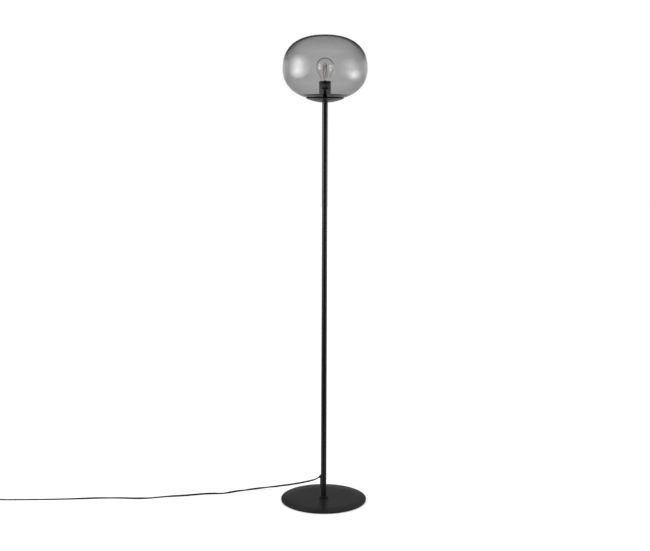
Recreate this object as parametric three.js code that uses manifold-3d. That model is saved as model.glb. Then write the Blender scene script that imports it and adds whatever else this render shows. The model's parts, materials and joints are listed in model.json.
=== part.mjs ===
// Globe floor lamp: a thin disc base, one straight pole, a shallow dish and a globe of smoked glass that stands in
// the dish round a filament bulb. A flat two-core cord leaves the pole near its foot and ends in a foot switch, a
// coil and a flat plug. Millimetres, +Z up. The origin is on the floor under the middle of the base; -Y is the front.
import * as THREE from "three";
import { mergeVertices } from "three/addons/utils/BufferGeometryUtils.js";
import Module from "manifold-3d";

const wasm = await Module();
wasm.setup();

// Clearances and cutting
const seatGap = 0.3; // between two pieces that sit on each other
const runGap = 0.4; // between two pieces that slide or turn in each other
const cutOverrun = 6; // how far a cutting tool reaches past what it cuts

// The whole lamp
const lampHeight = 1500;

// Base
const baseDiameter = 279;
const basePlateThickness = 6;
const baseEdgeRound = 1.4;
const footDiameter = 18;
const footHeight = 1.2;
const footInset = 20; // from the plate's edge to the foot's middle
const footCount = 4;
const collarDiameter = 28.6;
const collarHeight = 5;
const collarEdgeRound = 0.9;
const baseScrewDiameter = 8;
const baseScrewHeadDiameter = 15.6;
const baseScrewLength = 24;
const baseScrewRecess = 0.4;
const baseScrewKeyWidth = 5; // across the flats of its hexagon socket
const baseScrewKeyDepth = 2.8;

// Pole
const poleDiameter = 18;
const poleWall = 1.2;
const footInsertLength = 30;
const screwHoleSpare = 2; // blind hole beyond the screw's end
const topInsertLength = 25;

// Cord and its outlet on the pole
const cordDiameter = 5.6; // the long side of the flat two-core lead
const cordBendRadius = 24; // inside the pole, where the cord turns outwards
const cordPlay = 0.3; // round the cord in its hole
const outletTurn = 24; // degrees from the lamp's left towards the rear
const outletDrop = 35; // degrees below the horizontal
const outletMouthReach = 15.1; // from the pole's axis to the mouth's middle
const outletMouthHeight = 74.6;
const outletLow = 41; // the moulded strip on the pole
const outletHigh = 86;
const outletWidth = 8.6;
const outletThickness = 3.4;
const outletEdge = 1; // chamfer of its outer face
const noseRootRadius = 5;
const noseMouthRadius = 4.1;
const noseLength = 9;
const slotLow = 70; // the slot in the pole behind the strip
const slotHigh = 85;
const slotWidth = 7;
const outletScrewHeight = 47.5;
const outletScrewDiameter = 2.6;
const outletScrewHeadDiameter = 4.2;
const outletScrewHeadThickness = 1.3;
const outletScrewLength = 8;

// Dish and the parts that clamp it
const dishLipDiameter = 120;
const dishDepth = 12.2;
const dishWall = 2;
const dishSeatDiameter = 26; // flat middle that stands on the pole
const dishOpeningDiameter = 84; // in the turned-in shelf that carries the seal
const nippleDiameter = 10;
const nippleBore = 8;
const nippleBelowDish = 18;
const washerDiameter = 18.4;
const washerThickness = 0.8;
const nutWidth = 14; // across the flats
const nutThickness = 3;

// Glass globe and its seal
const globeDiameter = 267;
const globeRise = 105; // from its widest level to the crown
const globeDrop = 96.8; // from its widest level to where its outline would close below
const globeUpperPower = 2.37; // squareness of the upper outline, 2 is an ellipse
const globeLowerPower = 2.2;
const globeWall = 3;
const globeLipReach = 76; // from this radius to the opening the glass grows thicker
const globeLipHeight = 4; // its thickness at the opening
const globeRimDiameter = 118; // outside, at the ground rim
const sealThickness = 1.2;
const sealUpstand = 5.5;
const sealUpstandWall = 2.4;
const sealPlay = 0.6; // between the upstand and the glass
const sealInset = 1; // from the glass rim's outside to the seal's edge

// Socket cup and lampholder
const cupDiameter = 37;
const cupWall = 0.8;
const cupHeight = 56.3;
const cupFloor = 1;
const holderDiameter = 33.6;
const holderWall = 2;
const holderFloor = 3;
const lowerHolderHeight = 16;
const carrierThickness = 5;
const holderRimHeight = 6.7;
const holderRimRound = 1;
const shellHeight = 26;
const shellOuterDiameter = 28.6;
const terminalSpacing = 18;
const terminalHeadDiameter = 6;
const terminalHeadThickness = 2.1;
const terminalShankDiameter = 3.2;
const terminalShankLength = 4;
const wireDiameter = 2.2;
const nippleAboveFloor = 1.5; // how far the nipple stands into the lampholder
const cordAboveNipple = 1.5;
const leafThickness = 0.6;
const leafWidth = 6;
const leafHalfLength = 6.5;
const leafHeight = 5.8;

// Edison thread, shared by the bulb's cap and the shell it screws into
const threadPitch = 3.629;
const threadHalfDepth = 0.45;
const capThreadRadius = 12.6; // mean radius
const threadPlay = 0.4;
const unscrewTurns = 3;

// Bulb
const bulbLength = 103;
const bulbDiameter = 56;
const bulbWall = 0.8;
const capHeight = 27; // from the end contact to the upper edge of the skirt
const skirtHeight = 5.7;
const skirtDiameter = 26.2;
const skirtWall = 0.5;
const capWall = 1;
const endContactDiameter = 9.6;
const endContactThickness = 1.6;
const insulatorHeight = 3.8;
const neckDepthInCap = 4;
const stemFlareHeight = 8;
const stemRadius = 3;
const stemHeight = 19; // from the flare's foot to the pinch
const rodRadius = 1.2;
const filamentLength = 38;
const filamentDiameter = 2.2;
const filamentCount = 4;
const filamentFootRadius = 6.6; // from the bulb's axis
const filamentHeadRadius = 3.8;
const supportWireDiameter = 1;

// Foot switch
const switchLength = 60;
const switchWidth = 34;
const switchCornerRadius = 15;
const switchHeight = 20;
const switchSplitHeight = 9;
const switchWall = 2;
const switchEdge = 2.2;
const buttonDiameter = 22;
const buttonTravel = 3;
const buttonProud = 4.5;
const buttonEdge = 1.6;
const buttonFlange = 1.2; // how far the flange stands out under the cover
const buttonFlangeThickness = 1.5;
const stemPinDiameter = 4.4;
const bridgeLength = 16;
const bridgeWidth = 4;
const bridgeThickness = 0.8;
const terminalBlockLength = 4;
const terminalBlockWidth = 5;
const springDiameter = 20;
const springWire = 1;
const springCurls = 4;
const switchScrewSpacingX = 40;
const switchScrewSpacingY = 19;
const switchPostDiameter = 6.4;
const switchScrewDiameter = 2.6;
const switchScrewHeadDiameter = 5.2;
const switchScrewHeadThickness = 1.8;
const switchScrewRecess = 0.6;
const switchScrewLength = 15;
const glandLength = 20;
const glandRootRadius = 6;
const glandMouthRadius = 3.9;
const glandHeight = 6.5; // of its axis above the floor

// Plug
const plugWidth = 35.3;
const plugThickness = 13.7;
const plugLength = 36;
const plugShoulder = 20; // length of its full width
const plugNeckWidth = 14;
const plugEdge = 1.6;
const plugReliefLength = 20;
const plugReliefRootRadius = 5.4;
const pinDiameter = 4;
const pinLength = 19;
const pinSpacing = 18.6;
const pinTipRound = 1.2;

// Coil of spare cord and its tie
const coilPitch = 6.3; // from one turn to the next, sideways and upwards
const coilMeanRadius = 31;
const coilTurns = 3.75;
const coilClimbTurns = 0.5;
const coilHeight = 4.1; // of the lowest turn's middle
const tieWidth = 8;
const tieWall = 0.8;
const tiePlay = 0.35;

// The cord's route from the pole's outlet over the floor to the foot switch, chosen by hand
const cordRoute = [
  [-18.3, 8.1, 71.2], [-26, 11.5, 66], [-40, 18, 59.2], [-58, 28, 51.6], [-77, 38.5, 44], [-96, 50, 37],
  [-116, 63, 29.2], [-140, 76, 22], [-162, 86, 15.4], [-188, 94.5, 9.8], [-215, 98, 5.6], [-242, 94, 3.2],
  [-268, 86, 2.9], [-294, 73, 2.9], [-320, 58.5, 2.9], [-346, 51.5, 2.9], [-372, 48.5, 2.9], [-398, 45, 2.9],
  [-424, 38.2, 2.9], [-450, 31, 2.9], [-476, 25.5, 2.9], [-502, 21.8, 2.9], [-528, 17, 2.9], [-553, 9.8, 2.9],
  [-578, 2.5, 2.9], [-604, -0.8, 2.9], [-631, -0.8, 2.9], [-657, 2, 2.9], [-684, 3.8, 2.9], [-736, 1.6, 2.9],
  [-800, -5, 2.9], [-865, -10.5, 2.9], [-930, -14, 2.9], [-995, -16, 2.9], [-1040, -17.4, 2.9], [-1062, -18, 4.4],
  [-1076, -18, 6.2],
];
const switchPlace = [-1134, -18]; // middle of the foot switch
const coilPlace = [-1246, -18]; // where the cord's lead runs into the coil
const plugFront = -99; // the plug's front face, along Y

// How finely round things are divided
const wideSides = 48;
const midSides = 32;
const smallSides = 20;
const tinySides = 12;
const cordSides = 8;
const threadSides = 20;
const threadRowsPerPitch = 4;
const roundSteps = 3;
const cornerSteps = 4;
const coilSteps = 24;
const coilSides = 6;
const springSteps = 8;
const springSides = 5;
const mergeTolerance = 1e-4;
const fullTurn = 2 * Math.PI;
const radians = THREE.MathUtils.degToRad;

// Helpers: closed geometry, cutting and joining

function pointingOut(geometry) {
  const at = geometry.attributes.position;
  const index = geometry.index.array;
  const [a, b, c] = [new THREE.Vector3(), new THREE.Vector3(), new THREE.Vector3()];
  let volume = 0;
  for (let i = 0; i < index.length; i += 3) {
    a.fromBufferAttribute(at, index[i]);
    b.fromBufferAttribute(at, index[i + 1]);
    c.fromBufferAttribute(at, index[i + 2]);
    volume += a.dot(b.cross(c));
  }
  if (volume < 0) geometry.setIndex(Array.from(index).reverse());
  return geometry;
}

function closed(geometry) {
  geometry.deleteAttribute("normal");
  geometry.deleteAttribute("uv");
  const merged = mergeVertices(geometry, mergeTolerance);
  const corners = merged.index.array;
  const kept = [];
  for (let i = 0; i < corners.length; i += 3) {
    const [a, b, c] = [corners[i], corners[i + 1], corners[i + 2]];
    if (a !== b && b !== c && c !== a) kept.push(a, b, c);
  }
  merged.setIndex(kept);
  return pointingOut(merged);
}

function solidOf(geometry) {
  return new wasm.Manifold(new wasm.Mesh({
    numProp: 3,
    vertProperties: new Float32Array(geometry.attributes.position.array),
    triVerts: new Uint32Array(geometry.index.array),
  }));
}

function geometryOf(solid) {
  const mesh = solid.getMesh();
  const geometry = new THREE.BufferGeometry();
  geometry.setAttribute("position", new THREE.BufferAttribute(mesh.vertProperties, 3));
  geometry.setIndex(Array.from(mesh.triVerts));
  return geometry;
}

function joined(...geometries) {
  return geometryOf(geometries.map(solidOf).reduce((sum, next) => sum.add(next)));
}

function cut(geometry, ...tools) {
  return geometryOf(tools.map(solidOf).reduce((rest, tool) => rest.subtract(tool), solidOf(geometry)));
}

// Points on an arc in a profile, from one angle to the other in degrees
function arc(centreRadius, centreHeight, radius, from, to, steps = roundSteps) {
  return Array.from({ length: steps + 1 }, (_, i) => {
    const angle = radians(from + ((to - from) * i) / steps);
    return [centreRadius + radius * Math.cos(angle), centreHeight + radius * Math.sin(angle)];
  });
}

// A solid turned about Z from a profile of [radius, height] points
function turned(profile, sides) {
  const points = profile.map(([radius, height]) => new THREE.Vector2(Math.max(radius, 0), height));
  const onAxis = points[0].x === 0 && points[points.length - 1].x === 0;
  if (!onAxis) points.push(points[0].clone());
  return closed(new THREE.LatheGeometry(points, sides).rotateX(Math.PI / 2));
}

function cylinder(radius, low, high, sides) {
  return turned([[0, low], [radius, low], [radius, high], [0, high]], sides);
}

function ring(innerRadius, outerRadius, low, high, sides) {
  return turned([[innerRadius, low], [outerRadius, low], [outerRadius, high], [innerRadius, high]], sides);
}

function block(width, depth, low, high) {
  return closed(new THREE.BoxGeometry(width, depth, high - low).translate(0, 0, (low + high) / 2));
}

// An upright prism over an outline, with both its edges chamfered where an edge is given
function prism(outline, low, high, edge = 0) {
  const options = { depth: high - low - 2 * edge, bevelEnabled: edge > 0, bevelThickness: edge, bevelSize: edge };
  const shape = { ...options, bevelOffset: -edge, bevelSegments: 1, curveSegments: cornerSteps };
  return closed(new THREE.ExtrudeGeometry(outline, shape).translate(0, 0, low + edge));
}

function polygon(points) {
  return new THREE.Shape(points.map(([x, y]) => new THREE.Vector2(x, y)));
}

function roundedRectangle(width, depth, radius) {
  const [x, y] = [width / 2, depth / 2];
  const shape = new THREE.Shape();
  shape.absarc(x - radius, y - radius, radius, 0, Math.PI / 2);
  shape.absarc(radius - x, y - radius, radius, Math.PI / 2, Math.PI);
  shape.absarc(radius - x, radius - y, radius, Math.PI, 1.5 * Math.PI);
  shape.absarc(x - radius, radius - y, radius, 1.5 * Math.PI, fullTurn);
  return shape;
}

function hexagon(acrossFlats) {
  const corner = acrossFlats / Math.sqrt(3);
  return polygon(Array.from({ length: 6 }, (_, i) => {
    const angle = (i * fullTurn) / 6;
    return [corner * Math.cos(angle), corner * Math.sin(angle)];
  }));
}

function roundSection(radius, sides) {
  return polygon(Array.from({ length: sides }, (_, i) => {
    const angle = ((i + 0.5) * fullTurn) / sides;
    return [radius * Math.cos(angle), radius * Math.sin(angle)];
  }));
}

// A smooth curve through its points that is divided between each two of them alike
class PointRoute extends THREE.CatmullRomCurve3 {
  getUtoTmapping(share) {
    return share;
  }
}

// A round tube along points, evenly divided where steps are given, and otherwise with a section at each point
function tube(points, diameter, sides, steps = 0) {
  const places = points.map((point) => new THREE.Vector3(...point));
  const Route = steps ? THREE.CatmullRomCurve3 : PointRoute;
  const extrudePath = new Route(places, false, "centripetal");
  const options = { steps: steps || places.length - 1, bevelEnabled: false, extrudePath };
  return closed(new THREE.ExtrudeGeometry(roundSection(diameter / 2, sides), options));
}

// A strip of sheet metal bent along a line in X and Z, its width along Y
function bentStrip(line, thickness, width) {
  const sideways = line.map(([x, z], i) => {
    const before = line[Math.max(i - 1, 0)];
    const after = line[Math.min(i + 1, line.length - 1)];
    const along = new THREE.Vector2(after[0] - before[0], after[1] - before[1]).normalize();
    return [(-along.y * thickness) / 2, (along.x * thickness) / 2, x, z];
  });
  const left = sideways.map(([dx, dz, x, z]) => [x + dx, z + dz]);
  const right = sideways.map(([dx, dz, x, z]) => [x - dx, z - dz]).reverse();
  return prism(polygon([...left, ...right]), 0, width).rotateX(Math.PI / 2).translate(0, width / 2, 0);
}

// A ring whose walls may carry the Edison thread: each row is a ring of points, [mean radius, height, half depth]
function threadedRing(rows, sides) {
  const positions = [];
  const index = [];
  for (const [radius, height, halfDepth] of rows) {
    for (let s = 0; s < sides; s += 1) {
      const angle = (fullTurn * s) / sides;
      const reach = radius + halfDepth * Math.cos((fullTurn * height) / threadPitch - angle);
      positions.push(reach * Math.cos(angle), reach * Math.sin(angle), height);
    }
  }
  rows.forEach((_, row) => {
    const above = (row + 1) % rows.length;
    for (let s = 0; s < sides; s += 1) {
      const next = (s + 1) % sides;
      const [a, b] = [row * sides + s, row * sides + next];
      const [c, d] = [above * sides + s, above * sides + next];
      index.push(a, b, d, a, d, c);
    }
  });
  const geometry = new THREE.BufferGeometry();
  geometry.setAttribute("position", new THREE.BufferAttribute(new Float32Array(positions), 3));
  geometry.setIndex(index);
  return pointingOut(geometry);
}

// Rows of a threaded wall between two heights, the thread running out at both ends to another radius
function threadRows(radius, low, high, endRadius) {
  const count = Math.max(3, Math.round(((high - low) / threadPitch) * threadRowsPerPitch));
  return Array.from({ length: count + 1 }, (_, i) => {
    const height = low + ((high - low) * i) / count;
    return i === 0 || i === count ? [endRadius, height, 0] : [radius, height, threadHalfDepth];
  });
}

// An unbroken tube through its points, for wound forms: each section stands square to the path
function woundTube(points, radius, sides) {
  const places = points.map((point) => new THREE.Vector3(...point));
  const positions = [];
  const index = [];
  places.forEach((place, i) => {
    const before = places[Math.max(i - 1, 0)];
    const after = places[Math.min(i + 1, places.length - 1)];
    const along = after.clone().sub(before).normalize();
    const sideways = new THREE.Vector3(-along.y, along.x, 0).normalize();
    const upwards = along.clone().cross(sideways);
    for (let s = 0; s < sides; s += 1) {
      const angle = (fullTurn * (s + 0.5)) / sides;
      const point = place.clone().addScaledVector(sideways, radius * Math.cos(angle));
      positions.push(...point.addScaledVector(upwards, radius * Math.sin(angle)).toArray());
    }
  });
  for (let i = 0; i + 1 < places.length; i += 1) {
    for (let s = 0; s < sides; s += 1) {
      const [a, b] = [i * sides + s, i * sides + ((s + 1) % sides)];
      index.push(a, b, b + sides, a, b + sides, a + sides);
    }
  }
  const last = (places.length - 1) * sides;
  for (let s = 1; s + 1 < sides; s += 1) {
    index.push(0, s + 1, s);
    index.push(last, last + s, last + s + 1);
  }
  const geometry = new THREE.BufferGeometry();
  geometry.setAttribute("position", new THREE.BufferAttribute(new Float32Array(positions), 3));
  geometry.setIndex(index);
  return pointingOut(geometry);
}

// The least free gap between the turns of a wound tube, measured between its points
function leastGap(points, diameter) {
  const places = points.map((point) => new THREE.Vector3(...point));
  const lengths = [0];
  for (let i = 1; i < places.length; i += 1) lengths.push(lengths[i - 1] + places[i].distanceTo(places[i - 1]));
  let least = Infinity;
  for (let i = 0; i < places.length; i += 1) {
    for (let j = i + 1; j < places.length; j += 1) {
      if (lengths[j] - lengths[i] < 3 * diameter) continue;
      least = Math.min(least, places[i].distanceTo(places[j]));
    }
  }
  return least - diameter;
}

// Materials
function material(color, roughness, metalness) {
  return new THREE.MeshStandardMaterial({ color, roughness, metalness });
}
const blackPaint = material(0x2c2c2e, 0.45, 0.4);
const blackMoulding = material(0x1b1b1c, 0.5, 0);
const blackRubber = material(0x161616, 0.9, 0);
const cordJacket = material(0x1a1a1b, 0.55, 0);
const bareSteel = material(0x9a9b9d, 0.35, 1);
const nickel = material(0xb8b4aa, 0.25, 1);
const brass = material(0xb5954f, 0.3, 1);
const ceramic = material(0xdcd8cf, 0.5, 0);
const blackGlass = material(0x141416, 0.2, 0);
const smokedGlass = material(0x5a5a60, 0.05, 0);
smokedGlass.transparent = true;
smokedGlass.opacity = 0.45;
const clearGlass = material(0xe8eef0, 0.03, 0);
clearGlass.transparent = true;
clearGlass.opacity = 0.3;
const phosphor = material(0xb98a5e, 0.6, 0);
const wireSheath = material(0x3a5f9a, 0.6, 0);
const wireSheathBrown = material(0x5c3a24, 0.6, 0);

// Places that several groups share
const poleRadius = poleDiameter / 2;
const poleBore = poleRadius - poleWall;
const plateLow = footHeight + seatGap;
const plateHigh = plateLow + basePlateThickness;
const poleLow = plateHigh + seatGap;
const rimDepthShare = 1 - (globeRimDiameter / globeDiameter) ** globeLowerPower;
const globeRimDepth = globeDrop * rimDepthShare ** (1 / globeLowerPower);
const globeRimLevel = dishDepth + seatGap + sealThickness + seatGap; // above the dish's underside
const globeLevel = globeRimLevel + globeRimDepth;
const headHeight = lampHeight - globeRise - globeLevel; // of the dish's underside
const poleHigh = headHeight - seatGap;

const lamp = new THREE.Group();
const group = (x = 0, y = 0, z = 0) => {
  const made = new THREE.Group();
  made.position.set(x, y, z);
  lamp.add(made);
  return made;
};
function piece(parent, name, geometry, finish) {
  const mesh = new THREE.Mesh(geometry, finish);
  mesh.name = name;
  parent.add(mesh);
  return mesh;
}

// Base: plate, feet, collar and the screw that holds the pole
const base = group();
{
  const edge = baseDiameter / 2;
  const shaft = baseScrewDiameter / 2 + seatGap;
  const head = baseScrewHeadDiameter / 2;
  const mouth = head + baseScrewRecess + seatGap * Math.SQRT2;
  piece(base, "base_plate", turned([
    [mouth, plateLow],
    [edge - baseEdgeRound / 2, plateLow],
    [edge, plateLow + baseEdgeRound / 2],
    ...arc(edge - baseEdgeRound, plateHigh - baseEdgeRound, baseEdgeRound, 0, 90),
    [shaft, plateHigh],
    [shaft, plateLow + mouth - shaft],
  ], wideSides), blackPaint);

  for (let i = 0; i < footCount; i += 1) {
    const angle = ((i + 0.5) * fullTurn) / footCount;
    const foot = piece(base, `base_foot_${i + 1}`, cylinder(footDiameter / 2, 0, footHeight, smallSides), blackRubber);
    const reach = edge - footInset;
    foot.position.set(reach * Math.cos(angle), reach * Math.sin(angle), 0);
  }

  const collarLow = plateHigh + seatGap;
  const collarHigh = collarLow + collarHeight;
  const collarEdge = collarDiameter / 2;
  piece(base, "base_collar", turned([
    [poleRadius + seatGap, collarLow],
    [collarEdge, collarLow],
    ...arc(collarEdge - collarEdgeRound, collarHigh - collarEdgeRound, collarEdgeRound, 0, 90),
    [poleRadius + seatGap, collarHigh],
  ], midSides), blackPaint);

  const headLow = plateLow + baseScrewRecess;
  const shank = baseScrewDiameter / 2;
  const screw = turned([
    [0, headLow],
    [head, headLow],
    [shank, headLow + head - shank],
    [shank, headLow + baseScrewLength],
    [0, headLow + baseScrewLength],
  ], smallSides);
  const key = prism(hexagon(baseScrewKeyWidth), headLow - cutOverrun, headLow + baseScrewKeyDepth);
  piece(base, "base_screw", cut(screw, key), bareSteel);

  const insertRadius = poleBore - seatGap;
  const holeHigh = headLow + baseScrewLength + screwHoleSpare;
  piece(base, "pole_foot_insert", turned([
    [shaft, poleLow],
    [insertRadius, poleLow],
    [insertRadius, poleLow + footInsertLength],
    [0, poleLow + footInsertLength],
    [0, holeHigh],
    [shaft, holeHigh],
  ], smallSides), bareSteel);
}

// Pole, with the cord's outlet on it. Inside this group +X points out of the outlet.
const pole = group();
pole.rotation.z = Math.PI - radians(outletTurn);
const dropAngle = radians(outletDrop);
const outwards = [Math.cos(dropAngle), -Math.sin(dropAngle)];
const bendSweep = 90 - outletDrop;
const bendReach = cordBendRadius * (1 - Math.cos(radians(bendSweep)));
const bendToMouth = (outletMouthReach - bendReach) / outwards[0];
const bendEndHeight = outletMouthHeight - bendToMouth * outwards[1];
const bendHigh = bendEndHeight + cordBendRadius * Math.sin(radians(bendSweep));
{
  const slotShape = roundedRectangle(slotHigh - slotLow, slotWidth, slotWidth / 2);
  const slot = prism(slotShape, 0, poleRadius + cutOverrun)
    .rotateY(Math.PI / 2)
    .translate(0, 0, (slotLow + slotHigh) / 2);
  const screwRadius = outletScrewDiameter / 2;
  const screwHole = cylinder(screwRadius + seatGap, 0, poleRadius + cutOverrun, tinySides)
    .rotateY(Math.PI / 2)
    .translate(0, 0, outletScrewHeight);
  const pipe = ring(poleBore, poleRadius, poleLow, poleHigh, smallSides);
  piece(pole, "pole", cut(pipe, slot, screwHole), blackPaint);

  const face = poleRadius + outletThickness;
  const stripShape = roundedRectangle(outletHigh - outletLow, outletWidth, outletWidth / 2);
  const strip = prism(stripShape, 0, face, outletEdge)
    .rotateY(Math.PI / 2)
    .translate(0, 0, (outletLow + outletHigh) / 2);
  const aim = (geometry) => geometry.rotateY(Math.PI / 2 + dropAngle);
  const atMouth = (geometry) => aim(geometry).translate(outletMouthReach, 0, outletMouthHeight);
  const nose = atMouth(turned([
    [0, -noseLength],
    [noseRootRadius, -noseLength],
    [noseMouthRadius, 0],
    [0, 0],
  ], smallSides));
  const bore = atMouth(cylinder(cordDiameter / 2 + cordPlay, -poleDiameter, cutOverrun, smallSides));
  const body = cylinder(poleRadius + seatGap, outletLow - cutOverrun, outletHigh + cutOverrun, midSides);
  const head = outletScrewHeadDiameter / 2;
  const headDepth = outletScrewHeadThickness + seatGap;
  const headHole = cylinder(head + seatGap, face - headDepth - seatGap, face + cutOverrun, tinySides)
    .rotateY(Math.PI / 2)
    .translate(0, 0, outletScrewHeight);
  piece(pole, "cord_outlet", cut(joined(strip, nose), body, bore, headHole, screwHole), blackMoulding);

  const headBack = face - headDepth;
  const screw = turned([
    [0, headBack + outletScrewHeadThickness],
    [head, headBack + outletScrewHeadThickness],
    [head, headBack],
    [screwRadius, headBack],
    [screwRadius, headBack - outletScrewLength + outletScrewHeadThickness],
    [0, headBack - outletScrewLength + outletScrewHeadThickness],
  ], tinySides).rotateY(Math.PI / 2).translate(0, 0, outletScrewHeight);
  piece(pole, "cord_outlet_screw", screw, bareSteel);

  piece(pole, "pole_top_insert", ring(
    nippleDiameter / 2 + seatGap, poleBore - seatGap, poleHigh - topInsertLength, poleHigh, smallSides,
  ), bareSteel);
}

// Head: everything from here up is measured from the dish's underside
const head = group(0, 0, headHeight);
const cupLow = dishWall + seatGap;
const cupHigh = cupLow + cupHeight;
const washerLow = cupLow + cupFloor + seatGap;
const nutLow = washerLow + washerThickness + seatGap;
const lowerHolderLow = nutLow + nutThickness + seatGap;
const chamberLow = lowerHolderLow + holderFloor;
const lowerHolderHigh = lowerHolderLow + lowerHolderHeight;
const carrierLow = lowerHolderHigh + seatGap;
const carrierHigh = carrierLow + carrierThickness;
const sleeveLow = carrierHigh + seatGap;
const rimLow = cupHigh + seatGap;
const rimHigh = rimLow + holderRimHeight;
const nippleHigh = chamberLow + nippleAboveFloor;
const nippleHole = nippleDiameter / 2 + seatGap;
const holderRadius = holderDiameter / 2;
const shellOuter = shellOuterDiameter / 2;
const bulbLow = sleeveLow + leafHeight + seatGap; // the bulb's end contact
const globeInner = thickLip(globeOutline(globeWall));

// Right half of the globe's outline from the rim to the crown, its wall set in by a distance
function globeOutline(inset) {
  const reach = globeDiameter / 2 - inset;
  const curve = (drop, power, from, to, steps) => Array.from({ length: steps + 1 }, (_, i) => {
    const angle = from + ((to - from) * i) / steps;
    const across = Math.abs(Math.cos(angle)) ** (2 / power);
    const along = Math.abs(Math.sin(angle)) ** (2 / power);
    return [reach * across, drop * along];
  });
  const lowerDrop = globeDrop - inset;
  const rimAngle = Math.asin((globeRimDepth / lowerDrop) ** (globeLowerPower / 2));
  const lower = curve(lowerDrop, globeLowerPower, rimAngle, 0, 6).map(([r, z]) => [r, globeLevel - z]);
  const upper = curve(globeRise - inset, globeUpperPower, 0, Math.PI / 2, 8).map(([r, z]) => [r, globeLevel + z]);
  upper[upper.length - 1][0] = 0;
  return [...lower, ...upper.slice(1)];
}

function thickLip(inner) {
  const [opening, low] = inner[0];
  const wall = inner.filter(([r, z]) => z > globeLevel || r > globeLipReach);
  const lipHigh = low + globeLipHeight;
  const slope = [0.3, 0.6].map((share) => [
    opening + (wall[0][0] - opening) * share,
    lipHigh + (wall[0][1] - lipHigh) * share * (0.5 + share / 2),
  ]);
  return [[opening, low], [opening, lipHigh], ...slope, ...wall];
}
{
  // Dish: a spherical bowl with a flat middle and a turned-in shelf
  const lip = dishLipDiameter / 2;
  const seat = dishSeatDiameter / 2;
  const centre = (lip ** 2 + dishDepth ** 2 - seat ** 2) / (2 * dishDepth);
  const bowl = Math.hypot(seat, centre);
  const bowlArc = (radius, fromRadius, toRadius, steps) => Array.from({ length: steps + 1 }, (_, i) => {
    const r = fromRadius + ((toRadius - fromRadius) * i) / steps;
    return [r, centre - Math.sqrt(radius ** 2 - r ** 2)];
  });
  const innerBowl = bowl - dishWall;
  const shelfLow = dishDepth - dishWall;
  const innerLip = Math.sqrt(innerBowl ** 2 - (centre - shelfLow) ** 2);
  const cupSeat = cupDiameter / 2 + 2 * seatGap; // a flat recess that the socket cup stands in
  piece(head, "dish", turned([
    [nippleHole, 0],
    ...bowlArc(bowl, seat, lip, 5),
    [dishOpeningDiameter / 2, dishDepth],
    [dishOpeningDiameter / 2, shelfLow],
    ...bowlArc(innerBowl, innerLip, cupSeat, 4),
    [cupSeat, dishWall],
    [nippleHole, dishWall],
  ], wideSides), blackPaint);

  const opening = globeInner[0][0];
  const sealLow = dishDepth + seatGap;
  const upstand = opening - sealPlay;
  piece(head, "shade_seal", turned([
    [upstand - sealUpstandWall, sealLow],
    [globeRimDiameter / 2 - sealInset, sealLow],
    [globeRimDiameter / 2 - sealInset, sealLow + sealThickness],
    [upstand, sealLow + sealThickness],
    [upstand, sealLow + sealThickness + sealUpstand],
    [upstand - sealUpstandWall, sealLow + sealThickness + sealUpstand],
  ], midSides), blackRubber);

  piece(head, "threaded_nipple", ring(
    nippleBore / 2, nippleDiameter / 2, -nippleBelowDish, nippleHigh, smallSides,
  ), brass);

  const cupRadius = cupDiameter / 2;
  piece(head, "socket_cup", turned([
    [nippleHole, cupLow],
    [cupRadius - cupWall, cupLow],
    [cupRadius, cupLow + cupWall],
    [cupRadius, cupHigh],
    [cupRadius - cupWall, cupHigh],
    [cupRadius - cupWall, cupLow + cupFloor],
    [nippleHole, cupLow + cupFloor],
  ], midSides), blackPaint);

  piece(head, "lock_washer", ring(
    nippleHole, washerDiameter / 2, washerLow, washerLow + washerThickness, smallSides,
  ), bareSteel);
  const nut = prism(hexagon(nutWidth), nutLow, nutLow + nutThickness);
  const nutHole = cylinder(nippleHole, nutLow - cutOverrun, nutLow + nutThickness + cutOverrun, smallSides);
  piece(head, "lock_nut", cut(nut, nutHole), bareSteel);
}

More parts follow.
